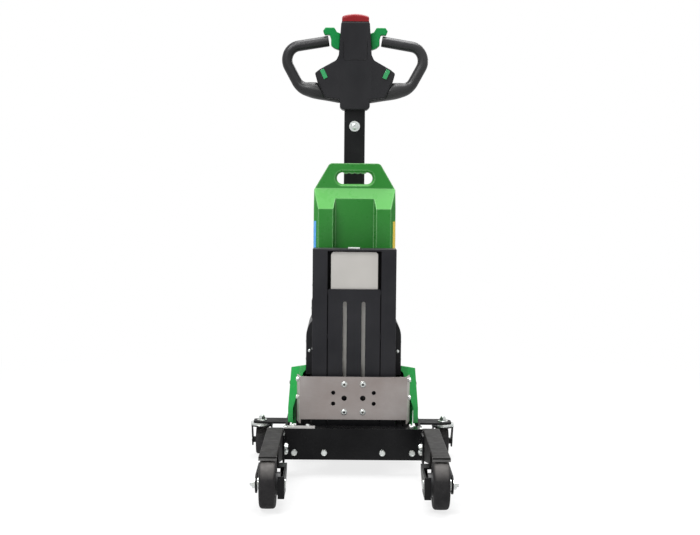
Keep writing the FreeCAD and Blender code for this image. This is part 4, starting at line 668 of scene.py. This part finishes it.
def cross_member_parts():
    """The glossy channel with its bolts, the side fixings of the legs and the angle strip."""
    broken_edges("cross_member", 1.0, GLOSS_BLACK, 3)
    plate, top = 5 * MM, CROSS_HIGH.z
    bolt_height = 58 * MM
    bolts = Mould()
    for x in (-144, -71, 71, 144):
        hex_bolt(bolts, at((x * MM, CROSS_FRONT, bolt_height), FRONT, 15), 13.2, 5.6, 7.3)
        hex_nut(bolts, at((x * MM, CROSS_FRONT + plate, bolt_height), REAR), 13, 6.5, 4, 4)
    for _, sign in SIDES:
        tab_inner = sign * (CROSS_HIGH.x - plate)
        leg_outer = sign * span("leg_right", "x")[1]
        for y, z in mm((-60, 66), (-60, 79), (-84, 68), (-84, 81)):
            hex_nut(bolts, at((tab_inner, y, z), (-sign, 0, 0)), 10, 5, 3, 2.5)
            hex_bolt(bolts, at((leg_outer, y, z), (sign, 0, 0)), 10, 4, 6.4)
    bolts.piece("chassis_bolts", "chassis", ZINC, "zinc")
    strip = Mould()
    strip_thickness = 2.5
    strip.slab(Matrix.Translation((CROSS_LOW.x, CROSS_FRONT, top)), rectangle(0, 0, 76, 24),
               strip_thickness, 0.6)
    strip.piece("angle_strip", "chassis", ANGLE_GREY, "stainless")
    screws = Mould()
    for x, y, lift in ((-148, -14, strip_thickness), (-112, -12, strip_thickness), (143, -12, 0),
                       (-166, -34, strip_thickness), (166, -34, 0)):
        button_bolt(screws, at((x * MM, y * MM, top + lift * MM), UP), 5.6, 3.2, 2)
    screws.piece("cross_member_screws", "chassis", ZINC, "zinc")


def base_parts():
    """Base frame and drive unit, with the ribs round the motor's drum."""
    finished("base_frame", SATIN_BLACK)
    finished("drive_unit", MOTOR_GREY)
    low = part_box("drive_unit")[0]
    count, first, pitch, axis_height = 6, 6 * MM, 6.5 * MM, 44 * MM
    rib = mm((43.5, 0), (46.5, 0), (46.5, 2), (43.5, 2))
    ribs = Mould()
    for k in range(count):
        centre = Vector((0, low.y + first + pitch * k, low.z + axis_height))
        ribs.lathe(at(centre, REAR), rib, 64)
    ribs.piece("motor_ribs", "chassis", MOTOR_GREY, "motor_grey")


# ---- wheels ----
def front_wheels():
    """Solid tyres with rounded shoulders, on hubs with a boss on the inner side."""
    radius = half_span("front_tyre_right", "z") / MM
    half = half_span("front_tyre_right", "x") / MM
    bore, shoulder, spokes, spoke_radius = 27, 7.4, 6, 19.6
    section = [(bore, 1.6 - half), (bore + 2, 0.4 - half), (bore + 8, -half)]
    section += arc((radius - shoulder - 0.3, shoulder - half), shoulder, range(-90, -9, 10))
    section += [(radius - 0.1, -5), (radius, -0.7)]
    end = (middle("front_tyre_right").x - span("front_hub_right", "x")[0]) / MM
    face = [(8.05, -end), (13.5, -end), (14.5, 1.2 - end), (22.5, 1.2 - end), (23.5, -end),
            (24.6, -end), (25.5, 0.9 - end), (25.5, -18.2), (27, -17.6), (27, 17.6), (25.5, 17.6),
            (24.5, 16.2), (15, 16.2), (15, 18), (8.05, 18)]
    for side, sign in SIDES:
        place = at(middle("front_tyre_" + side), (sign, 0, 0))
        tyre = Mould()
        tyre.lathe(place, mm(*mirrored(section)), 128, closed=True)
        tyre.piece("front_tyre_%s_rubber" % side, "front_wheel_" + side, TYRE, "tyre_black",
                   replaces=("front_tyre_" + side,))
        hub = Mould()
        hub.lathe(place, mm(*face), 64, closed=True)
        for k in range(spokes):
            turn = place @ Matrix.Rotation(2 * math.pi * k / spokes, 4, "Z")
            hub.slab(turn @ Matrix.Translation(spot(spoke_radius, 0, 16)),
                     rectangle(-5, -1.2, 5.2, 1.2), 1.3)
        hub.piece("front_hub_%s_moulding" % side, "front_wheel_" + side, HUB_PLASTIC, "hub_plastic",
                  replaces=("front_hub_" + side,))
    finished("front_axles", ZINC)
    caps = Mould()
    axle = middle("front_axles")
    outer_x = span("front_axles", "x")[1]
    inner_x = span("fork_right", "x")[0] - 1.5 * MM
    for _, sign in SIDES:
        caps.lathe(at((sign * outer_x, axle.y, axle.z), (sign, 0, 0)),
                   mm((7.2, -1), (7.2, 0.9), (5.2, 1.2), (5.2, 4.6), (4.2, 5.6)), 24)
        caps.lathe(at((sign * inner_x, axle.y, axle.z), (-sign, 0, 0)),
                   mm((10.4, -1), (10.4, 0.2), (9.6, 0.6)), 24)
    caps.piece("front_axle_ends", "chassis", ZINC, "zinc")


def drive_wheels():
    """Driven tyres with ribs and cross cuts, and the wheel bolts on their rims."""
    radius = half_span("drive_tyre_right", "z") / MM
    seat, half, steps, cut_depth = 76, 27, 240, 2.6
    bolt_count, bolt_circle = 5, 48
    section = [(seat, -half), (seat + 5, -half), (seat + 8, 1.4 - half),
               (radius - 10, 1.4 - half), (radius - 6, 2.4 - half), (radius - 2.6, 5 - half),
               (radius - 0.6, 8.6 - half), (radius - 0.2, -10), (radius - 4, -9.4),
               (radius - 4, -7), (radius - 0.1, -6.4), (radius, -3)]
    for side, sign in SIDES:
        place = at(middle("drive_tyre_" + side), (sign, 0, 0))
        rings = []
        for r, h in mirrored(section):
            points = ring(place, r * MM, h * MM, steps)
            if abs(h) > 6 and r > radius - 2:
                cut = ring(place, (r - cut_depth) * MM, h * MM, steps)
                points = [cut[k] if k % 8 in (0, 1) else points[k] for k in range(steps)]
            rings.append(points)
        tyre = Mould()
        tyre.skin(rings, closed=True)
        tyre.piece("drive_tyre_%s_rubber" % side, "drive_wheel_" + side, TYRE, "tyre_black",
                   replaces=("drive_tyre_" + side,))
        broken_edges("drive_rim_" + side, 0.7, RIM_ALLOY)
        bolts = Mould()
        for flip in (0, math.pi):
            for k in range(bolt_count):
                turn = place @ Matrix.Rotation(2 * math.pi * k / bolt_count, 4, "Z")
                turn = turn @ Matrix.Rotation(flip, 4, "X")
                hex_bolt(bolts, turn @ Matrix.Translation(spot(bolt_circle, 0, 6)), 13, 6, 9)
        hub_face = place @ Matrix.Translation(spot(0, 0, 20.5))
        bolts.lathe(hub_face, mm((16, 0), (16, 1.6), (13, 2.6)), 40)
        bolts.piece("drive_wheel_bolts_" + side, "drive_wheel_" + side, ZINC, "zinc")


def castors():
    """Side castors: rubber treads on plastic cores, bright races and nuts on the king pins."""
    finished("castor_heads", ZINC)
    head_top = span("castor_heads", "z")[1]
    crown_sheet, race_height = 3 * MM, 95 * MM
    tread_radius = 37.5
    tread_half = [(27, -14.6), (30, -16), (33.4, -16), (35.4, -15.2), (36.8, -13.4), (37.4, -10.6),
                  (tread_radius, 0)]
    core_half = mm((4.2, -16), (9, -16), (9.5, -14.2), (22, -12.4), (24.5, -15), (27.6, -15))
    for side, sign in SIDES:
        fork = "castor_fork_" + side
        broken_edges(fork, 0.5, CASTOR_BLACK)
        node = "castor_wheel_" + side
        scale = half_span(node, "z") / tread_radius
        axle = middle(node)
        place = at(axle, (sign, 0, 0))
        tread = Mould()
        tread.lathe(place, [(r * scale, h * MM) for r, h in mirrored(tread_half)], 96, closed=True)
        tread.piece("castor_tread_" + side, "castor_roller_" + side, CASTOR_TREAD, "castor_tread",
                    replaces=(node,))
        core = Mould()
        core.lathe(place, mirrored(core_half), 64, closed=True)
        core.piece("castor_core_" + side, "castor_roller_" + side, HUB_PLASTIC, "hub_plastic")
        swivel = Mould()
        for way, end_x in zip((-1, 1), span(fork, "x")):
            hex_bolt(swivel, at((end_x, axle.y, axle.z), (way, 0, 0)), 11, 1.8)
        pin = Vector((middle(fork).x, middle("castor_heads").y, 0))
        ring_foot = span(fork, "z")[1] - crown_sheet - 1.2 * MM
        swivel.lathe(at(pin + Vector((0, 0, ring_foot)), UP),
                     mm((25.05, 0), (28.95, 0), (28.95, 1.6), (28.2, 2.4), (26.6, 2.6),
                        (26.2, 4.2), (25.05, 4.2)), 64, closed=True)
        swivel.piece("castor_axle_ends_" + side, "castor_swivel_" + side, ZINC, "zinc")
        race = Mould()
        race.lathe(at(pin + Vector((0, 0, race_height)), UP),
                   mm((13, 0), (13, 1.1), (12.4, 1.6)), 40)
        race.lathe(at(pin + Vector((0, 0, head_top - 0.4 * MM)), UP),
                   mm((6, 0), (6, 3.2), (5, 4.2)), 24)
        race.piece("castor_race_" + side, "chassis", ZINC, "zinc")


# ---- mast and hitch ----
def mast_parts():
    """Mast, cover and light plate, with the white tab, side screws and pale strips behind the
    slots, painted light for the plate seen lit through them.
    """
    broken_edges("mast_frame", 1.4, MAST_BLACK, 3)
    broken_edges("slot_cover", 0.7, MAST_BLACK, 2)
    broken_edges("mast_plate", 1.2, LIGHT_COAT, 3)
    tab = Mould()
    tab.slab(at((-1.5 * MM, MAST_LOW.y + 30 * MM, MAST_HIGH.z), UP),
             rectangle(-14.5, 0, 14.5, 14), 3, 0.8)
    tab.piece("mast_top_tab", "chassis", WHITE_LABEL, "light_plate")
    screws = Mould()
    for _, sign in SIDES:
        for z in (0.30, 0.46):
            seat = (sign * MAST_HIGH.x, MAST_LOW.y + 45 * MM, z)
            dome_screw(screws, at(seat, (sign, 0, 0)), 4.2, 2)
    screws.piece("mast_screws", "chassis", ZINC, "zinc")
    # pale strips just behind the slots: painted light, a paler copy of the light plate for the
    # plate seen lit through the slots
    strips = Mould()
    plate_face = MAST_LOW.y + 25 * MM
    foot = span("slot_cover", "z")[0] + 25 * MM
    for x in (-23, 23):
        strips.slab(at((x * MM, plate_face, foot), FRONT), rectangle(-5.5, 0, 5.5, 290), 4.2, 0.4)
    strips.piece("slot_painted_light_strips", "chassis", STRIP_PAINTED_LIGHT, "light_plate")


def hitch_parts():
    """Brushed plate with its carriage bolts, black discs in their sockets as painted shade, and the
    flange bolts.
    """
    broken_edges("hitch_plate", 0.8, STAINLESS, 3)
    # the carriage takes the dark coat though the record gives it zinc: painted shade for the
    # carriage seen in shade behind the plate
    finished("carriage", DARK_SCREW)
    bolts = Mould()
    sockets = Mould()
    plate_middle, flange_side, flange_back = 186 * MM, 136.6 * MM, 18 * MM
    for x in (-23, 23):
        for rise in (-34.5, 34.5):
            seat = Vector((x * MM, HITCH_FRONT, plate_middle + rise * MM))
            bolts.lathe(at(seat, FRONT), mm((7.9, 0), (7.9, 0.7), (7.6, 1.0)), 36)
            button_bolt(bolts, at(seat - spot(0, 0.8, 0), FRONT, 20), 7.3, 4.4, 2.8)
            # black disc at the floor of each hex socket: painted shade in the socket
            sockets.lathe(at(seat - spot(0, 1.9, 0), FRONT),
                          mm((2.75, 0), (2.75, 0.5), (2.2, 0.9)), 18)
    for _, sign in SIDES:
        outward = (sign * 40, -8, 0)
        for z in (0.230, 0.186):
            seat = (sign * flange_side, HITCH_FRONT + flange_back, z)
            hex_bolt(bolts, at(seat, outward), 9.4, 3.8, 5.6)
    bolts.piece("hitch_bolts", "hitch", ZINC, "zinc")
    sockets.piece("hitch_bolt_socket_shade", "hitch", JOINT_AND_SHADE_BLACK, "zinc")


# ---- body and covers ----
def housing_parts():
    """Housing, rear panel and tray with their screws, and the seams of the housing's side skins."""
    broken_edges("body_housing", 1.6, SATIN_BLACK, 3)
    broken_edges("rear_panel", 0.8, SATIN_BLACK)
    broken_edges("battery_tray", 0.7, SATIN_BLACK)
    tray_side = span("battery_tray", "x")[1]
    screws = Mould()
    seams = Mould()
    for _, sign in SIDES:
        out = (sign, 0, 0)
        dome_screw(screws, at((sign * 111 * MM, HOUSING_LOW.y, 0.2925), FRONT), 4.4, 2.4)
        for y in (0.105, 0.187, 0.270):
            for z in (0.268, 0.313):
                dome_screw(screws, at((sign * HOUSING_HIGH.x, y, z), out), 4, 2.2)
        for x, heights in ((112, (0.252, 0.316)), (76, (0.075, 0.16, 0.215))):
            for z in heights:
                dome_screw(screws, at((sign * x * MM, PANEL_REAR, z), REAR), 4, 2.2)
        for y in (0.130, 0.210):
            dome_screw(screws, at((sign * tray_side, y, 0.395), out), 3.6, 2)
        for y in (0.146, 0.229):
            seams.slab(at((sign * (HOUSING_HIGH.x + 0.05 * MM), y, 0.2905), out),
                       rectangle(-0.5, -36, 0.5, 36), 0.1)
    screws.piece("housing_screws", "chassis", ZINC, "zinc")
    seams.piece("housing_seams", "chassis", JOINT_AND_SHADE_BLACK, "satin_black")


def cover_parts():
    """Wheel covers with one screw on each sloping front and three seated on each side."""
    skins = {sign: broken_edges("wheel_cover_" + side, 1.3, COVER_GREEN, 3) for side, sign in SIDES}
    screws = Mould()
    cover_front = span("wheel_cover_right", "y")[0]
    side_x, back, height = (v * MM for v in (139, 40.6, 244.5))
    slope = (0, -107, 46)
    for _, sign in SIDES:
        button_bolt(screws, at((sign * side_x, cover_front + back, height), slope), 5, 2.6, 1.8)
        skin = skins[sign].data
        surface = BVHTree.FromPolygons([v.co for v in skin.vertices],
                                       [p.vertices for p in skin.polygons])
        inward = Vector((-sign, 0, 0))
        for y, z in ((0.115, 0.205), (0.205, 0.19), (0.29, 0.175)):
            seat, out = surface.ray_cast(Vector((sign * 0.3, y, z)), inward)[:2]
            out = out if out.dot(inward) < 0 else -out
            button_bolt(screws, at(seat, out), 5, 2.6, 1.8)
    screws.piece("cover_screws", "chassis", DARK_SCREW, "zinc")


def battery_parts():
    """Moulded pack with finger waves over its hand slot, side labels and a parting line."""
    broken_edges("battery_case", 3.6, BATTERY_GREEN, 4, 25.0)
    waves = Mould()
    slot_top, handle_front, handle_back = 743, 150.5, 189.5
    count, pitch, width, depth = 4, 15, 7.6, 4.2
    for k in range(count):
        x = (k - (count - 1) / 2) * pitch
        profile = [(x + width * math.cos(a), slot_top + 0.4 + depth * math.sin(a))
                   for a in map(math.radians, range(180, 361, 15))]
        profile += [(x + width, slot_top + 2), (x - width, slot_top + 2)]
        waves.skin([[spot(px, y, pz) for px, pz in profile] for y in (handle_front, handle_back)])
    waves.piece("battery_finger_waves", "chassis", BATTERY_GREEN, "battery_green")
    line = Mould()
    for _, sign in SIDES:
        line.slab(at((sign * BATTERY_HIGH.x, 0.170, 0.425), (sign, 0, 0)),
                  rectangle(-0.45, 0, 0.45, 250), 0.12)
    line.piece("battery_parting_line", "chassis", JOINT_AND_SHADE_BLACK, "battery_green")
    label_low, label_high = 0.489, 0.619
    corner = Vector((BATTERY_HIGH.x, BATTERY_LOW.y, 0))
    path = [corner + spot(x, y, 0)
            for x, y in ((-6.5, 5.5), (-2.6, 9.4), (-0.5, 12.5), (0, 16), (0, 70))]
    for (side, sign), film in zip(SIDES, (BLUE_LABEL, YELLOW_LABEL)):
        loop = [p + spot(0.4, -0.35, 0) for p in path]
        loop += [p + spot(-0.3, 0.25, 0) for p in reversed(path)]
        label = Mould()
        label.skin([[Vector((sign * p.x, p.y, z)) for p in loop] for z in (label_low, label_high)])
        label.piece("battery_label_" + side, "chassis", film, "battery_green")


# ---- rear controls and tiller ----
def rear_controls():
    """Key switch, charge gauge with its window and bars, and the tiller bracket's bolts."""
    broken_edges("panel_controls", 0.6, CONTROL_BLACK)
    finished("tiller_stop", BUFFER_RUBBER)
    broken_edges("tiller_bracket", 0.7, SATIN_BLACK)
    finished("tiller_pin", ZINC)
    control_height = 0.290
    gauge = Vector((-85 * MM, PANEL_REAR + 4 * MM, control_height))
    window = Mould()
    window.slab(at(gauge, REAR), rounded_rectangle(26, 15, 2), 0.6, 0.2)
    window.piece("charge_gauge_window", "chassis", DISPLAY_GLASS, "control_black")
    bars = Mould()
    for k in range(-2, 3):
        bars.slab(at(gauge + spot(k * 4.4, 0.6, 0), REAR), rounded_rectangle(3, 8, 0.8, 3), 0.15)
    bars.piece("charge_gauge_bars", "chassis", LEVER_GREEN, "lever_green")
    bolts = Mould()
    bracket_low, bracket_high = span("tiller_bracket", "z")
    plate, bolt_x, edge = (v * MM for v in (6, 47, 14))
    for _, sign in SIDES:
        for z in (bracket_low + edge, bracket_high - edge):
            hex_bolt(bolts, at((sign * bolt_x, PANEL_REAR + plate, z), REAR), 10, 4, 6.6)
    bolts.lathe(at((85 * MM, PANEL_REAR + 5 * MM, control_height), REAR),
                mm((8.4, 0), (8.4, 0.8), (7, 1.4)))
    bolts.piece("rear_bolts", "chassis", ZINC, "zinc")


def tiller_parts():
    """Tiller bar with its cap bolt, the moulded head, grips, levers and buttons."""
    broken_edges("tiller_bar", 0.5, BAR_BLACK)
    cap = Mould()
    seat = Vector((0, 337 * MM, 0.869))
    cap.lathe(at(seat, FRONT), mm((14.5, 0), (14.5, 1.6), (13.6, 2.4), (11, 2.6)), 48)
    button_bolt(cap, at(seat - spot(0, 2.2, 0), FRONT), 9.4, 3.6, 3.2)
    cap.piece("tiller_cap_bolt", "tiller", ZINC, "zinc")
    head = softened("tiller_head", 1.6, 10, HEAD_PLASTIC)
    for side, _ in SIDES:
        softened("handle_" + side, 1.6, 3, GRIP_PLASTIC)
    softened("thumb_levers", 1.1, 8, LEVER_GREEN)
    softened("belly_button", 1.5, 4, BUTTON_RED)
    broken_edges("head_buttons", 1.6, BUTTON_GREEN, 3)
    head_seams_and_button_shade(head)


def head_seams_and_button_shade(head):
    """Parting lines on both faces of the head, laid on its surface, and a dark ring at its button's
    foot, painted shade in the gap under the button.
    """
    bm = bmesh.new()
    bm.from_mesh(head.data)
    surface = BVHTree.FromBMesh(bm)
    bm.free()
    middle_y = middle("tiller_head").y
    steps, seam_radius, closest = 12, 0.85 * MM, 0.3 * MM
    upper, lower = ((32, 1096), (32, 1049)), ((97, 986), (90, 966), (80, 948), (62, 944), (50, 938))
    paths = [[(sign * x, z) for x, z in half] for _, sign in SIDES for half in (upper, lower)]
    lines = Mould()
    for path in paths + [[(-29, 1046), (29, 1046)]]:
        stops = [Vector(start).lerp(Vector(end), k / steps) * MM
                 for start, end in zip(path, path[1:]) for k in range(steps + 1)]
        for way in (-1, 1):
            points = []
            for x, z in stops:
                start = Vector((x, middle_y + way * 0.1, z))
                hit = surface.ray_cast(start, Vector((0, -way, 0)))[0]
                if hit is not None and (not points or (hit - points[-1]).length > closest):
                    points.append(hit)
            if len(points) > 1:
                lines.tube(points, seam_radius, 8)
    # dark ring at the red button's foot: painted shade in the gap under the button
    centre = middle("belly_button")
    wide, deep = (2 * half_span("belly_button", axis) / MM + 0.8 for axis in "xy")
    foot = span("belly_button", "z")[0] - 0.3 * MM
    lines.slab(Matrix.Translation((centre.x, centre.y, foot)), rounded_rectangle(wide, deep, 4),
               2.4, 0.3)
    lines.piece("head_seams_and_button_shade", "tiller", JOINT_AND_SHADE_BLACK, "head_plastic")


# ---- stage ----
def floor():
    """White floor that keeps the object's shadow and fades into the white surround."""
    f = Finish("studio_floor")
    length = f.add("VectorMath", operation="LENGTH")
    f.put(length, 0, f.place)
    fade = f.ramp(length.outputs["Value"], 0.6, 2.2, 0.80, 1.0)
    glow = f.add("Emission")
    f.put(glow, "Color", WHITE)
    f.finish(f.blend(f.patches((40, 3)), (0.84, 0.84, 0.84, 1), (0.87, 0.87, 0.87, 1)), 0.8)
    share = f.math("MULTIPLY", f.seen_directly("Glossy"), fade)
    f.put(f.tree.nodes["Material Output"], "Surface",
          f.mix_shaders(share, f.shader.outputs[0], glow.outputs[0]))
    disc = Mould()
    place = Matrix.Translation(spot(0, 0, -2))
    disc.skin([ring(place, radius, 0.0, 64) for radius in (14.0, 2.5)], cap_start=False)
    mesh = mesh_of(disc.bm, "floor")
    mesh.materials.append(f.material)
    placed("floor", mesh)


def surround():
    """White to the eye and in gloss; a soft, dimmer sky for the light itself."""
    world = bpy.data.worlds.new("studio")
    bpy.context.scene.world = world
    world.use_nodes = True
    sky = Nodes(world.node_tree)
    sky.tree.nodes.clear()
    shades = []
    for colour, strength in (((0.95, 0.97, 1.0, 1), 0.24), (WHITE, 1.0)):
        shade = sky.add("Background")
        sky.put(shade, "Color", colour)
        sky.put(shade, "Strength", strength)
        shades.append(shade.outputs[0])
    seen = sky.seen_directly("Glossy", "Transmission")
    sky.put(sky.add("OutputWorld"), "Surface", sky.mix_shaders(seen, *shades))


def soft_light(name, place, target, size, watts):
    """Square lamp aimed at a target; places and size in metres."""
    data = bpy.data.lights.new(name, "AREA")
    data.size = size
    data.energy = watts
    lamp = placed(name, data)
    lamp.location = place
    lamp.rotation_mode = "QUATERNION"
    lamp.rotation_quaternion = (Vector(target) - Vector(place)).to_track_quat("-Z", "Y")


def camera():
    """Long lens a little left of the machine's middle, looking slightly down at it."""
    eye_place = (-0.032, -2.946, 0.7156)
    yaw, pitch, roll = -0.007, 0.070, 0.009
    ahead = Vector((-math.sin(yaw) * math.cos(pitch), math.cos(yaw) * math.cos(pitch),
                    -math.sin(pitch)))
    level = Vector((math.cos(yaw), math.sin(yaw), 0))
    upright = level.cross(ahead)
    right = math.cos(roll) * level + math.sin(roll) * upright
    up = -math.sin(roll) * level + math.cos(roll) * upright
    data = bpy.data.cameras.new("camera")
    data.lens = 61.95
    data.sensor_width = 36.0
    data.clip_end = 60.0
    eye = placed("camera", data)
    eye.matrix_world = Matrix([(r, u, -a, p) for r, u, a, p in zip(right, up, ahead, eye_place)]
                              + [(0, 0, 0, 1)])
    bpy.context.scene.camera = eye


legs_and_forks()
cross_member_parts()
base_parts()
front_wheels()
drive_wheels()
castors()
mast_parts()
hitch_parts()
housing_parts()
cover_parts()
battery_parts()
rear_controls()
tiller_parts()
floor()
surround()
soft_light("key", (-1.3, -1.3, 3.0), (0, 0.05, 0.5), 1.2, 74)
soft_light("spark", (-0.55, -2.3, 2.25), (-0.13, 0, 0.2), 0.5, 12)
soft_light("fill", (2.4, -1.8, 1.5), (0, 0, 0.5), 1.8, 5)
soft_light("top", (0.2, 0.5, 3.1), (0, 0.1, 0.3), 1.8, 105)
soft_light("rear", (1.6, 2.6, 1.9), (0, 0, 0.5), 1.6, 30)
camera()
bpy.context.scene.view_settings.view_transform = "Standard"
